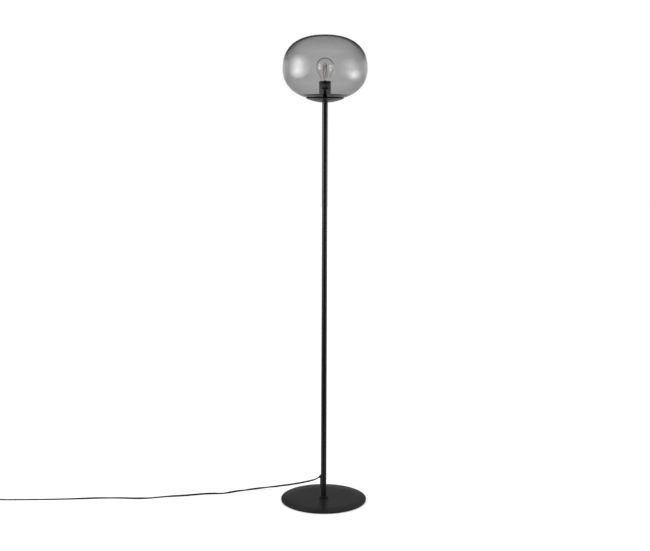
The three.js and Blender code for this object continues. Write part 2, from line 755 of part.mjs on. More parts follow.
// Lampholder
{
  const inner = holderRadius - holderWall;
  piece(head, "lampholder_lower", turned([
    [nippleHole, lowerHolderLow],
    [holderRadius, lowerHolderLow],
    [holderRadius, lowerHolderHigh],
    [inner, lowerHolderHigh],
    [inner, chamberLow],
    [nippleHole, chamberLow],
  ], midSides), blackMoulding);

  const carrier = cylinder(holderRadius, carrierLow, carrierHigh, midSides);
  const terminalHole = (side) => cylinder(
    terminalShankDiameter / 2 + seatGap, carrierLow - cutOverrun, carrierHigh + cutOverrun, tinySides,
  ).translate((side * terminalSpacing) / 2, 0, 0);
  piece(head, "contact_carrier", cut(carrier, terminalHole(1), terminalHole(-1)), ceramic);

  const rimRadius = cupDiameter / 2;
  const sleeveBore = shellOuter + seatGap;
  piece(head, "lampholder_upper", turned([
    [sleeveBore, sleeveLow],
    [holderRadius, sleeveLow],
    [holderRadius, rimLow],
    [rimRadius, rimLow],
    ...arc(rimRadius - holderRimRound, rimHigh - holderRimRound, holderRimRound, 0, 90),
    [sleeveBore, rimHigh],
  ], midSides), blackMoulding);

  const shellHigh = sleeveLow + shellHeight;
  const shellMean = capThreadRadius + threadPlay;
  const shellWidest = shellMean + threadHalfDepth;
  const threadLow = bulbLow + endContactThickness;
  piece(head, "screw_shell", threadedRing([
    [shellWidest, sleeveLow, 0],
    ...threadRows(shellMean, threadLow, shellHigh - leafThickness, shellWidest),
    [shellWidest, shellHigh, 0],
    [shellOuter, shellHigh, 0],
    [shellOuter, sleeveLow, 0],
  ], threadSides), brass);

  const half = leafThickness / 2;
  piece(head, "centre_contact", bentStrip([
    [-leafHalfLength, half],
    [leafHalfLength - leafThickness, half],
    [leafHalfLength, half + leafThickness],
    [leafHalfLength - leafThickness, half + 2 * leafThickness],
    [leafHalfLength / 4, leafHeight - half],
    [-leafHalfLength / 3, leafHeight - half],
  ], leafThickness, leafWidth).translate(0, 0, sleeveLow), brass);

  const headLow = carrierLow - seatGap - terminalHeadThickness;
  const screwProfile = [
    [0, headLow],
    [terminalHeadDiameter / 2, headLow],
    [terminalHeadDiameter / 2, headLow + terminalHeadThickness],
    [terminalShankDiameter / 2, headLow + terminalHeadThickness],
    [terminalShankDiameter / 2, carrierLow + terminalShankLength],
    [0, carrierLow + terminalShankLength],
  ];
  const wireLow = nippleHigh + cordAboveNipple + seatGap;
  const wireRadius = wireDiameter / 2;
  const wireHigh = headLow + terminalHeadThickness / 2;
  const wireEnd = terminalSpacing / 2 - terminalHeadDiameter / 2 - seatGap;
  const wireStart = wireRadius + seatGap + seatGap;
  const wireRise = wireHigh - wireLow;
  const wireRoute = [
    [wireStart, 0, wireLow],
    [wireStart, 0, wireLow + wireRise / 3],
    [wireStart + wireRadius, 0, wireLow + (2 * wireRise) / 3],
    [wireEnd - wireRadius, 0, wireHigh - wireRadius / 4],
    [wireEnd, 0, wireHigh],
  ];
  [["1", wireSheathBrown, 0], ["2", wireSheath, Math.PI]].forEach(([number, sheath, turn]) => {
    const screw = piece(head, `terminal_screw_${number}`, turned(screwProfile, tinySides), brass);
    screw.position.set((Math.cos(turn) * terminalSpacing) / 2, 0, 0);
    piece(head, `wire_${number}`, tube(wireRoute, wireDiameter, cordSides), sheath).rotation.z = turn;
  });
}

// The cord inside the pole, from the outlet's mouth up into the lampholder
{
  const bend = arc(cordBendRadius, bendHigh, cordBendRadius, 180 + bendSweep, 180, 6);
  const high = headHeight + nippleHigh + cordAboveNipple;
  const rise = high - bendHigh;
  const route = [
    [outletMouthReach, 0, outletMouthHeight],
    ...bend.map(([x, z]) => [x, 0, z]),
    ...[0.02, 0.1, 0.5, 1].map((riseShare) => [0, 0, bendHigh + rise * riseShare]),
  ];
  piece(pole, "cord_in_pole", tube(route, cordDiameter, cordSides), cordJacket);
}

// Glass globe
const shade = group(0, 0, headHeight);
{
  const outer = globeOutline(0);
  piece(shade, "glass_shade", turned([...outer, ...globeInner.slice().reverse()], midSides), smokedGlass);
}

// Bulb: cap, insulator, end contact, glass, stem and filaments, all measured from the dish's underside
const bulb = group(0, 0, headHeight);
{
  const contactHigh = bulbLow + endContactThickness;
  const contactRadius = endContactDiameter / 2;
  piece(bulb, "bulb_end_contact", turned([
    [0, bulbLow],
    [contactRadius / 2, bulbLow],
    [contactRadius, bulbLow + endContactThickness / 2],
    [contactRadius, contactHigh],
    [0, contactHigh],
  ], smallSides), nickel);

  const insulatorLow = contactHigh + seatGap;
  const insulatorHigh = insulatorLow + insulatorHeight;
  const capInner = capThreadRadius - capWall;
  piece(bulb, "bulb_insulator", turned([
    [0, insulatorLow],
    [contactRadius, insulatorLow],
    [capInner, insulatorHigh],
    [0, insulatorHigh],
  ], smallSides), blackGlass);

  const capLow = insulatorHigh + seatGap;
  const capHigh = bulbLow + capHeight;
  const skirtLow = capHigh - skirtHeight;
  const skirtRadius = skirtDiameter / 2;
  piece(bulb, "bulb_cap", threadedRing([
    ...threadRows(capThreadRadius, capLow, skirtLow, capThreadRadius - threadHalfDepth),
    [skirtRadius, skirtLow + skirtWall, 0],
    [skirtRadius, capHigh, 0],
    [skirtRadius - skirtWall, capHigh, 0],
    [skirtRadius - skirtWall, skirtLow + capWall, 0],
    [capInner, skirtLow + capWall - skirtWall, 0],
    [capInner, capLow, 0],
  ], threadSides), nickel);

  // Heights and radii of the glass between the neck and the globe of the bulb, as shares of its own
  const bulbShares = [[0, 0], [0.16, 0.03], [0.3, 0.16], [0.46, 0.4], [0.62, 0.68], [0.8, 0.91], [1, 1]];
  const neckLow = capHigh - neckDepthInCap;
  const bulbHigh = bulbLow + bulbLength;
  const bellRadius = bulbDiameter / 2;
  const neckRadius = skirtRadius - skirtWall - seatGap;
  const bulbOutline = (inset) => [
    ...bulbShares.map(([heightShare, radiusShare]) => [
      neckRadius + (bellRadius - neckRadius) * radiusShare - inset,
      neckLow + (bulbHigh - bellRadius - neckLow) * heightShare,
    ]),
    ...arc(0, bulbHigh - bellRadius, bellRadius - inset, 0, 90, 6).slice(1, -1),
    [0, bulbHigh - inset],
  ];
  piece(bulb, "bulb_glass", turned([...bulbOutline(0), ...bulbOutline(bulbWall).reverse()], smallSides), clearGlass);

  const flare = neckRadius - bulbWall - seatGap;
  const pinch = neckLow + stemHeight;
  const starLow = pinch + seatGap;
  const footLevel = starLow + supportWireDiameter + seatGap;
  const headLevel = footLevel + filamentLength;
  const rodHigh = headLevel + seatGap;
  piece(bulb, "bulb_stem", turned([
    [0, neckLow],
    [flare, neckLow],
    [flare, neckLow + bulbWall],
    [stemRadius + bulbWall, neckLow + stemFlareHeight],
    [stemRadius, pinch],
    [rodRadius, pinch],
    [rodRadius, rodHigh],
    [0, rodHigh],
  ], tinySides), clearGlass);

  // Two stars of thin wire carry the filaments: one round the rod on the pinch, one on the rod's end
  const armLength = (reach) => reach + filamentDiameter / 2;
  const arms = (reach, low) => [0, 1].map((turn) => block(
    2 * armLength(reach), supportWireDiameter, low, low + supportWireDiameter,
  ).rotateZ((turn * Math.PI) / 2));
  const hub = cylinder(stemRadius, starLow, starLow + supportWireDiameter, tinySides);
  const rodHole = cylinder(rodRadius + seatGap, starLow - cutOverrun, starLow + cutOverrun, tinySides);
  piece(bulb, "filament_star_lower", cut(joined(hub, ...arms(filamentFootRadius, starLow)), rodHole), nickel);
  const upperStarLow = rodHigh + seatGap;
  piece(bulb, "filament_star_upper", joined(...arms(filamentHeadRadius, upperStarLow)), nickel);

  for (let i = 0; i < filamentCount; i += 1) {
    const route = [[filamentFootRadius, 0, footLevel], [filamentHeadRadius, 0, headLevel]];
    const rod = tube(route, filamentDiameter, cordSides);
    piece(bulb, `filament_${i + 1}`, rod, phosphor).rotation.z = (i * fullTurn) / filamentCount;
  }
}

// Foot switch, on the cord
const footSwitch = group(switchPlace[0], switchPlace[1], 0);
{
  const outline = roundedRectangle(switchLength, switchWidth, switchCornerRadius);
  const inside = roundedRectangle(
    switchLength - 2 * switchWall, switchWidth - 2 * switchWall, switchCornerRadius - switchWall,
  );
  const posts = (low, high, diameter) => [1, -1].map((side) => cylinder(diameter / 2, low, high, tinySides)
    .translate((side * switchScrewSpacingX) / 2, (side * switchScrewSpacingY) / 2, 0));
  const gland = (side, play = 0) => turned([
    [0, switchLength / 2 - switchWall - play],
    [glandRootRadius + play, switchLength / 2 - switchWall - play],
    [glandMouthRadius + play, switchLength / 2 + glandLength],
    [0, switchLength / 2 + glandLength],
  ], smallSides).rotateY((side * Math.PI) / 2).translate(0, 0, glandHeight);
  const screwHole = switchScrewDiameter / 2 + seatGap;
  const headHoleHigh = switchScrewRecess + switchScrewHeadThickness + seatGap;
  const headHole = switchScrewHeadDiameter / 2 + seatGap;
  const upTo = switchHeight + cutOverrun;
  const outer = prism(outline, 0, switchHeight, switchEdge);
  const aboveSplit = block(2 * switchLength, 2 * switchWidth, switchSplitHeight, upTo);
  const coverLow = switchSplitHeight + seatGap;
  const belowCover = block(2 * switchLength, 2 * switchWidth, -cutOverrun, coverLow);

  const tray = cut(outer, aboveSplit, prism(inside, switchWall, upTo));
  const trayPosts = posts(switchWall / 2, switchSplitHeight, switchPostDiameter);
  const trayHoles = [...posts(-cutOverrun, upTo, 2 * screwHole), ...posts(-cutOverrun, headHoleHigh, 2 * headHole)];
  const trayBody = joined(tray, gland(1), gland(-1), ...trayPosts);
  piece(footSwitch, "switch_base", cut(trayBody, ...trayHoles), blackMoulding);

  const ceiling = switchHeight - switchWall;
  const lid = cut(outer, belowCover, prism(inside, -cutOverrun, ceiling));
  const lidPosts = posts(coverLow, ceiling + switchWall / 2, switchPostDiameter);
  const screwHigh = switchScrewRecess + switchScrewLength;
  const lidHoles = posts(-cutOverrun, screwHigh + seatGap, 2 * screwHole);
  const button = buttonDiameter / 2;
  const buttonHole = cylinder(button + runGap, coverLow, upTo, midSides);
  const notches = [gland(1, seatGap), gland(-1, seatGap)];
  const cover = cut(joined(lid, ...lidPosts), ...lidHoles, ...notches, buttonHole);
  piece(footSwitch, "switch_cover", cover, blackMoulding);

  const flangeHigh = ceiling - seatGap;
  const flangeLow = flangeHigh - buttonFlangeThickness;
  const flange = button + runGap + buttonFlange;
  const buttonHigh = switchHeight + buttonProud;
  const terminalHigh = coverLow - buttonTravel + seatGap;
  const bridgeLow = terminalHigh + buttonTravel + seatGap;
  const pinLow = bridgeLow + bridgeThickness + seatGap;
  const pin = stemPinDiameter / 2;
  piece(footSwitch, "switch_button", turned([
    [0, pinLow],
    [pin, pinLow],
    [pin, flangeLow],
    [flange, flangeLow],
    [flange, flangeHigh],
    [button, flangeHigh],
    [button, buttonHigh - buttonEdge],
    [button - buttonEdge, buttonHigh - buttonEdge / 4],
    [button / 2, buttonHigh],
    [0, buttonHigh],
  ], midSides), blackMoulding);
  piece(footSwitch, "contact_bridge", block(
    bridgeLength, bridgeWidth, bridgeLow, bridgeLow + bridgeThickness,
  ), brass);
  [1, -1].forEach((side, i) => {
    const terminal = block(terminalBlockLength, terminalBlockWidth, switchWall + seatGap, terminalHigh);
    const across = (side * (bridgeLength - terminalBlockLength)) / 2;
    piece(footSwitch, `switch_terminal_${i + 1}`, terminal.translate(across, 0, 0), brass);
  });

  const springLow = switchWall + seatGap + springWire / 2;
  const springHigh = flangeLow - seatGap - springWire / 2;
  const coilRadius = (springDiameter - springWire) / 2;
  const springPoints = Array.from({ length: springCurls * springSteps + 1 }, (_, i) => {
    const angle = (i * fullTurn) / springSteps;
    const height = springLow + ((springHigh - springLow) * i) / (springCurls * springSteps);
    return [coilRadius * Math.cos(angle), coilRadius * Math.sin(angle), height];
  });
  piece(footSwitch, "switch_spring", woundTube(springPoints, springWire / 2, springSides), bareSteel);
  console.log("least gap between the spring's curls:", leastGap(springPoints, springWire).toFixed(2), "mm");

  const screwHead = switchScrewHeadDiameter / 2;
  const screw = () => turned([
    [0, switchScrewRecess],
    [screwHead, switchScrewRecess],
    [screwHead, switchScrewRecess + switchScrewHeadThickness],
    [switchScrewDiameter / 2, switchScrewRecess + switchScrewHeadThickness],
    [switchScrewDiameter / 2, screwHigh],
    [0, screwHigh],
  ], tinySides);
  [1, -1].forEach((side, i) => {
    const made = piece(footSwitch, `switch_screw_${i + 1}`, screw(), bareSteel);
    made.position.set((side * switchScrewSpacingX) / 2, (side * switchScrewSpacingY) / 2, 0);
  });
}

// Cord on the floor: the stretch to the switch, the lead to the coil, the coil, its tie and the tail to the plug
const cord = group();
const glandReach = switchLength / 2 + glandLength + seatGap;
const coilLoss = (coilTurns / 2) * coilPitch; // how far a layer spirals in
const coilOuter = coilMeanRadius + coilLoss / 2;
const coilInner = coilMeanRadius - coilLoss / 2;
const coilMiddle = [coilPlace[0], coilPlace[1] + coilOuter];
const coilTop = coilHeight + coilPitch;
function coilPoint(turns) {
  const radius = coilInner + Math.abs(turns - coilTurns / 2) * coilPitch;
  const climb = THREE.MathUtils.smoothstep(
    turns, (coilTurns - coilClimbTurns) / 2, (coilTurns + coilClimbTurns) / 2,
  );
  const angle = -fullTurn * (turns + 0.25);
  return [
    coilMiddle[0] + radius * Math.cos(angle),
    coilMiddle[1] + radius * Math.sin(angle),
    coilHeight + coilPitch * climb,
  ];
}
{
  const turn = radians(outletTurn);
  const away = [-Math.cos(turn) * outwards[0], Math.sin(turn) * outwards[0], outwards[1]];
  const mouth = [-Math.cos(turn) * outletMouthReach, Math.sin(turn) * outletMouthReach, outletMouthHeight];
  const start = mouth.map((value, i) => value + away[i] * seatGap);
  const switchEnd = [switchPlace[0] + glandReach, switchPlace[1], glandHeight];
  piece(cord, "cord_to_switch", tube([start, ...cordRoute, switchEnd], cordDiameter, cordSides, 78), cordJacket);

  const coilStart = [coilPlace[0] + cordDiameter, coilPlace[1], coilHeight];
  const leadStart = [switchPlace[0] - glandReach, switchPlace[1], glandHeight];
  const leadEnd = [coilStart[0] + seatGap, coilPlace[1], coilHeight];
  const leadFall = 3 * cordDiameter; // it is down before the tail crosses over it
  piece(cord, "cord_to_coil", tube([
    leadStart,
    [leadStart[0] - leadFall / 4, switchPlace[1], glandHeight - seatGap],
    [leadStart[0] - leadFall / 2, switchPlace[1], (glandHeight + coilHeight) / 2],
    [leadStart[0] - leadFall, switchPlace[1], coilHeight],
    [(leadStart[0] - leadFall + leadEnd[0]) / 2, coilPlace[1], coilHeight],
    leadEnd,
  ], cordDiameter, cordSides), cordJacket);

  const count = Math.round(coilTurns * coilSteps);
  const wound = Array.from({ length: count + 1 }, (_, i) => coilPoint((i * coilTurns) / count));
  const woundEnd = wound[count];
  const coilEnd = [woundEnd[0], woundEnd[1] - cordDiameter, coilTop];
  const coilPoints = [coilStart, ...wound, coilEnd];
  piece(cord, "cord_coil", woundTube(coilPoints, cordDiameter / 2, coilSides), cordJacket);
  console.log("least gap between the coil's turns:", leastGap(coilPoints, cordDiameter).toFixed(2), "mm");

  const tieInner = coilInner - cordDiameter / 2 - tiePlay;
  const tieOuter = coilOuter + cordDiameter / 2 + tiePlay;
  const tieLow = coilHeight - cordDiameter / 2 - tiePlay;
  const tieHigh = coilTop + cordDiameter / 2 + tiePlay;
  const tieShape = roundedRectangle(
    tieOuter - tieInner + 2 * tieWall, tieHigh - tieLow + 2 * tieWall, cordDiameter / 2 + tieWall,
  );
  tieShape.holes.push(roundedRectangle(tieOuter - tieInner, tieHigh - tieLow, cordDiameter / 2));
  const tie = prism(tieShape, 0, tieWidth).rotateX(Math.PI / 2).rotateZ(Math.PI / 2);
  tie.translate(coilMiddle[0] - tieWidth / 2, coilMiddle[1] + (tieInner + tieOuter) / 2, (tieLow + tieHigh) / 2);
  piece(cord, "coil_tie", tie, blackRubber);

  const tailStart = [coilEnd[0], coilEnd[1] - seatGap, coilTop];
  const plugBack = plugFront + plugLength + plugReliefLength + seatGap;
  const tailEnd = [tailStart[0], plugBack, plugThickness / 2];
  const tailDescent = coilPlace[1] - cordDiameter / 2; // it comes down once it has crossed the lead
  piece(cord, "cord_tail", tube([
    tailStart,
    [tailStart[0], coilPlace[1] + cordDiameter, coilTop],
    [tailStart[0], tailDescent, coilTop],
    [tailStart[0], (tailDescent + plugBack) / 2, (coilTop + tailEnd[2]) / 2],
    [tailStart[0], plugBack + cordDiameter / 2, tailEnd[2]],
    tailEnd,
  ], cordDiameter, cordSides), cordJacket);
}

// Plug, lying flat with its pins to the front
const plug = group(coilMiddle[0] + coilOuter, plugFront, 0);
{
  const [half, neck] = [plugWidth / 2, plugNeckWidth / 2];
  const body = prism(polygon([
    [-half, 0], [half, 0], [half, plugShoulder], [neck, plugLength], [-neck, plugLength], [-half, plugShoulder],
  ]), 0, plugThickness, plugEdge);
  const relief = turned([
    [0, plugLength - plugEdge],
    [plugReliefRootRadius, plugLength - plugEdge],
    [glandMouthRadius, plugLength + plugReliefLength],
    [0, plugLength + plugReliefLength],
  ], smallSides).rotateX(-Math.PI / 2).translate(0, 0, plugThickness / 2);
  piece(plug, "plug_body", joined(body, relief), blackMoulding);
  [1, -1].forEach((side, i) => {
    const pinRadius = pinDiameter / 2;
    const pin = turned([
      [0, seatGap],
      [pinRadius, seatGap],
      [pinRadius, pinLength - pinTipRound],
      [pinRadius - pinTipRound / 2, pinLength],
      [0, pinLength],
    ], tinySides).rotateX(Math.PI / 2);
    piece(plug, `plug_pin_${i + 1}`, pin.translate((side * pinSpacing) / 2, 0, plugThickness / 2), nickel);
  });
}

console.log("the bulb rises", ((unscrewTurns * threadPitch)).toFixed(2), "mm in", unscrewTurns, "turns");

export default lamp;
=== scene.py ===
# %% [markdown]
# # A globe floor lamp, dressed piece by piece
#
# The lamp has a thin disc base, one straight pole, a shallow dish and a globe of smoked glass with a filament bulb
# in it. Its solids were made first and packed with their joints. This lesson loads them as a fixed frame and gives
# each visible piece its smooth shape and its finish. Everything is in metres, +Z is up, and the origin is on the
# floor under the middle of the base.

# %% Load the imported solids
import json
import math

import bpy
from mathutils import Matrix, Vector


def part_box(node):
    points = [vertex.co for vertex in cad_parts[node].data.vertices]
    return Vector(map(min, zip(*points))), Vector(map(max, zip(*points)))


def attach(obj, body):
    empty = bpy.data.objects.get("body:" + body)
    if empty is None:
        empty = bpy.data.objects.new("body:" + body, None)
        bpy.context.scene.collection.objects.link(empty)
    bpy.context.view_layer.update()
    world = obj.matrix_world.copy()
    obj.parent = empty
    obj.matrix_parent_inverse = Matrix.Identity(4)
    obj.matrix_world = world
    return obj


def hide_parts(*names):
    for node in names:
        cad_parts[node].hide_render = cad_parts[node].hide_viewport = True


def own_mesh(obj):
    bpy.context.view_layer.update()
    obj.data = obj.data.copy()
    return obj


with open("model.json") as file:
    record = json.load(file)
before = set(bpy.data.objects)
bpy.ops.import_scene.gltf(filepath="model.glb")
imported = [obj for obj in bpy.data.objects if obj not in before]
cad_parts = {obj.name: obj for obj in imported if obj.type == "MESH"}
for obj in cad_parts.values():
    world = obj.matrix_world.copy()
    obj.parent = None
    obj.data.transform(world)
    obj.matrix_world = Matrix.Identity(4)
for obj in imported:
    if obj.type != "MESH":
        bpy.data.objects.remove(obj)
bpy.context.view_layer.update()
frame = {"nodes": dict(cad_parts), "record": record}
nodes = frame["nodes"]
MM = 0.001


# %% [markdown]
# ## The camera
#
# A product photograph is taken from a few metres away, a little above the middle of the object. The distance shows in
# the ellipse of the base, which is seen from further above than the dish. The height, tilt and lens were worked out
# from those two ellipses and from the length of the pole. The camera was also turned by a fifth of a degree.

# %% Set the camera
CAMERA_PLACE = (0.00205, -3.4, 1.1835)
CAMERA_TILT = 7.363  # degrees below the horizontal
CAMERA_ROLL = 0.209
FOCAL_PIXELS = 1069.75
PICTURE = (650, 551)
SENSOR = 36.0

camera_data = bpy.data.cameras.new("camera")
camera_data.sensor_fit = "HORIZONTAL"
camera_data.sensor_width = SENSOR
camera_data.lens = SENSOR * FOCAL_PIXELS / PICTURE[0]
camera_data.clip_end = 100.0
camera = bpy.data.objects.new("camera", camera_data)
bpy.context.scene.collection.objects.link(camera)
tilt = Matrix.Rotation(math.radians(90 - CAMERA_TILT), 4, "X")
roll = Matrix.Rotation(math.radians(CAMERA_ROLL), 4, "Z")
camera.matrix_world = Matrix.Translation(CAMERA_PLACE) @ tilt @ roll
bpy.context.scene.camera = camera
print("lens:", round(camera_data.lens, 2), "mm")


# %% [markdown]
# ## Helpers for materials
#
# A finish is a small tree of nodes. One function turns the hex colour that a paint chart gives into the linear values
# that the renderer works with, and one adds a node with its settings and links. A colour or number that is the same
# all over is written on the shader's own socket.

# %% Define the helpers for materials
def linear(code):
    """An sRGB hex colour as linear red, green, blue and alpha."""
    channels = [int(code[i:i + 2], 16) / 255 for i in (1, 3, 5)]
    return [c / 12.92 if c <= 0.04045 else ((c + 0.055) / 1.055) ** 2.4 for c in channels] + [1.0]


def add_node(tree, kind, values=None, links=None, **settings):
    """Adds a node, sets its properties and its sockets' values, and links its sockets from other sockets."""
    node = tree.nodes.new(kind)
    for key, value in settings.items():
        setattr(node, key, value)
    for socket, value in (values or {}).items():
        node.inputs[socket].default_value = value
    for socket, source in (links or {}).items():
        tree.links.new(source, node.inputs[socket])
    return node


def empty_tree(owner):
    """The empty node tree of a new material, world or lamp."""
    owner.use_nodes = True
    owner.node_tree.nodes.clear()
    return owner.node_tree


def set_ramp(ramp, stops):
    """Gives a Color Ramp its stops, each a place from 0 to 1 and a hex colour."""
    elements = ramp.color_ramp.elements
    while len(elements) < len(stops):
        elements.new(1.0)
    for element, (place, code) in zip(elements, stops):
        element.position = place
        element.color = linear(code)


print("white is", linear("#ffffff"))


# %% [markdown]
# ## One recipe for the opaque finishes
#
# Most finishes here differ in the same few ways: how large their pattern is, between which two tones and which two
# degrees of gloss it wanders, and how deep its relief is. So one function builds them all. Its pattern is noise on
# the piece's own coordinates, with a number of cells per metre, so that it has a real size and stays on the piece when
# the piece moves. Separate trees would let each finish have its own structure, but these would be ten near copies.

# %% Define the recipe
def grained(name, cells, detail, stops, values, gloss=None, relief=None, skin=None, space="Object"):
    """A finish whose tone and gloss range follow noise with so many cells per metre along x, y and z.

    The relief is its strength and its height in metres. It follows the same noise, or that of a skin if one is given
    by its cells and detail."""
    material = bpy.data.materials.new(name)
    tree = empty_tree(material)
    coords = add_node(tree, "ShaderNodeTexCoord")
    patterns = []
    for pattern_cells, pattern_detail in ((cells, detail), skin) if skin else ((cells, detail),):
        place = add_node(tree, "ShaderNodeMapping", {"Scale": pattern_cells}, {"Vector": coords.outputs[space]})
        patterns.append(add_node(tree, "ShaderNodeTexNoise", {"Scale": 1.0, "Detail": pattern_detail},
                                 {"Vector": place.outputs["Vector"]}))
    tone = add_node(tree, "ShaderNodeValToRGB", None, {"Fac": patterns[0].outputs["Fac"]})
    set_ramp(tone, stops)
    links = {"Base Color": tone.outputs["Color"]}
    if gloss:
        wander = add_node(tree, "ShaderNodeMapRange", {"To Min": gloss[0], "To Max": gloss[1]},
                          {"Value": patterns[0].outputs["Fac"]})
        links["Roughness"] = wander.outputs["Result"]
    if relief:
        bump = add_node(tree, "ShaderNodeBump", {"Strength": relief[0], "Distance": relief[1]},
                        {"Height": patterns[-1].outputs["Fac"]})
        links["Normal"] = bump.outputs["Normal"]
    shader = add_node(tree, "ShaderNodeBsdfPrincipled", values, links)
    add_node(tree, "ShaderNodeOutputMaterial", None, {"Surface": shader.outputs["BSDF"]})
    print(name, "is ready")
    return material


# %% [markdown]
# ## Satin black powder coat
#
# The base, collar, pole, dish and socket cup are steel with a baked powder coat. The powder melts into a film with a
# fine orange-peel skin, so the gloss is broken up and only the edges catch light. The skin's cells are about 1 mm
# wide. It could be painted as a bump alone, but a slow change in roughness, over a hand's width, also keeps large
# faces from looking machine-made.

# %% Make the powder coat
powder_coat = grained("satin_black_powder_coat", (9, 9, 9), 3.0, [(0.3, "#1a1a1b"), (0.75, "#212122")],
                      {"Specular IOR Level": 0.3}, gloss=(0.28, 0.34), relief=(0.35, 0.00004),
                      skin=((950, 950, 950), 2.0))

# %% [markdown]
# ## Black mouldings
#
# The cord's outlet, the foot switch and the plug are injection-moulded from a tool with a spark-eroded face, which
# leaves a fine, even grain of about half a millimetre and a matt look. The lampholder is a thermoset from a polished
# tool, so it is smoother and glossier.

# %% Make the moulded plastics
moulding = grained("grained_black_abs", (60, 60, 60), 4.0, [(0.3, "#141415"), (0.8, "#1a1a1b")],
                   {"Specular IOR Level": 0.4}, gloss=(0.42, 0.56), relief=(0.3, 0.00003),
                   skin=((2200, 2200, 2200), 1.0))
holder_plastic = grained("glossy_black_thermoset", (140, 140, 140), 3.0, [(0.3, "#0e0e0f"), (0.8, "#141414")],
                         {"Specular IOR Level": 0.4}, gloss=(0.28, 0.36))

# %% [markdown]
# ## PVC lead and rubber
#
# The lead's jacket is extruded PVC. It is dull and nearly black, with faint lines along its length from the die. The
# lines follow the cord, so they read the cord's own UV map, in metres along and round it. The feet, the seal and the
# tie are matt rubber, dusty in their pores.

# %% Make the jacket and the rubber
jacket = grained("extruded_black_pvc", (40, 1500, 1), 2.0, [(0.35, "#101011"), (0.7, "#161617")],
                 {"Roughness": 0.62, "Specular IOR Level": 0.08}, relief=(0.25, 0.00003), space="UV")
rubber = grained("matt_black_rubber", (1400, 1400, 1400), 3.0, [(0.3, "#111111"), (0.8, "#1c1c1c")],
                 {"Roughness": 0.85, "Specular IOR Level": 0.2}, relief=(0.4, 0.00005))

# %% [markdown]
# ## Smoked glass
#
# The globe is mouth-blown glass with a grey tint in its mass, so it darkens where the eye looks along the wall. That
# comes from absorption inside the wall and not from a grey surface: the shader is clear, and the volume takes the
# light away. The wall's thickness wanders a little, which bends reflections.

# %% Make the smoked glass
CLEAR = {"Base Color": (1.0, 1.0, 1.0, 1.0), "Transmission Weight": 1.0}
smoked_glass = bpy.data.materials.new("smoked_blown_glass")
tree = empty_tree(smoked_glass)
coords = add_node(tree, "ShaderNodeTexCoord")
waves = add_node(tree, "ShaderNodeTexNoise", {"Scale": 14.0, "Detail": 1.0}, {"Vector": coords.outputs["Object"]})
relief = add_node(tree, "ShaderNodeBump", {"Strength": 0.12, "Distance": 0.0006}, {"Height": waves.outputs["Fac"]})
shader = add_node(tree, "ShaderNodeBsdfPrincipled", {**CLEAR, "Roughness": 0.0, "IOR": 1.45},
                  {"Normal": relief.outputs["Normal"]})
tint = add_node(tree, "ShaderNodeVolumeAbsorption", {"Color": linear("#5d5a5a"), "Density": 168.0})
add_node(tree, "ShaderNodeOutputMaterial", None,
         {"Surface": shader.outputs["BSDF"], "Volume": tint.outputs["Volume"]})
print(smoked_glass.name, "is ready")

# %% [markdown]
# ## The bulb's glasses
#
# The bulb is thin clear glass. Its stem is pressed while soft, which leaves it hazy at its flared foot and clear
# further up, so its roughness falls with height. The insulator under the cap is black moulded glass.

# %% Make the bulb's glasses
clear_glass = bpy.data.materials.new("clear_bulb_glass")
tree = empty_tree(clear_glass)
coords = add_node(tree, "ShaderNodeTexCoord")
waves = add_node(tree, "ShaderNodeTexNoise", {"Scale": 45.0, "Detail": 1.0}, {"Vector": coords.outputs["Object"]})
relief = add_node(tree, "ShaderNodeBump", {"Strength": 0.08, "Distance": 0.0002}, {"Height": waves.outputs["Fac"]})
shader = add_node(tree, "ShaderNodeBsdfPrincipled", {**CLEAR, "Roughness": 0.0, "IOR": 1.5},
                  {"Normal": relief.outputs["Normal"]})
add_node(tree, "ShaderNodeOutputMaterial", None, {"Surface": shader.outputs["BSDF"]})

stem_glass = bpy.data.materials.new("pressed_stem_glass")
tree = empty_tree(stem_glass)
coords = add_node(tree, "ShaderNodeTexCoord")
ways = add_node(tree, "ShaderNodeSeparateXYZ", None, {"Vector": coords.outputs["Object"]})
haze = add_node(tree, "ShaderNodeMapRange", {"From Min": 1.357, "From Max": 1.374, "To Min": 0.5, "To Max": 0.03},
                {"Value": ways.outputs["Z"]})
shader = add_node(tree, "ShaderNodeBsdfPrincipled", {**CLEAR, "IOR": 1.5}, {"Roughness": haze.outputs["Result"]})
add_node(tree, "ShaderNodeOutputMaterial", None, {"Surface": shader.outputs["BSDF"]})

black_glass = grained("black_insulator_glass", (300, 300, 300), 2.0, [(0.3, "#0b0b0d"), (0.8, "#141417")],
                      {"Roughness": 0.15})

# %% [markdown]
# ## Filament coating
#
# Each filament rod of the bulb carries a row of tiny lamps under a silicone coat full of phosphor. Unlit, the coat is
# a pale, warm orange that lets some light through. Its surface is slightly lumpy, at about the pitch of the lamps
# under it.

# %% Make the filament coating
coating = grained("filament_phosphor_coat", (900, 900, 900), 2.0, [(0.3, "#e6b594"), (0.75, "#f6d6bf")],
                  {"Roughness": 0.6, "IOR": 1.4, "Transmission Weight": 0.6}, relief=(0.4, 0.0001))

# %% [markdown]
# ## Metals, ceramic and wire sheaths
#
# The fasteners are zinc-plated steel, the bulb's cap and the plug's pins are nickel-plated, and the contacts are bare
# brass. All were drawn, turned or pressed, so their tone and gloss vary along fine upright lines. The contact carrier
# is glazed ceramic, and the stripped wires have brown and blue sheaths.

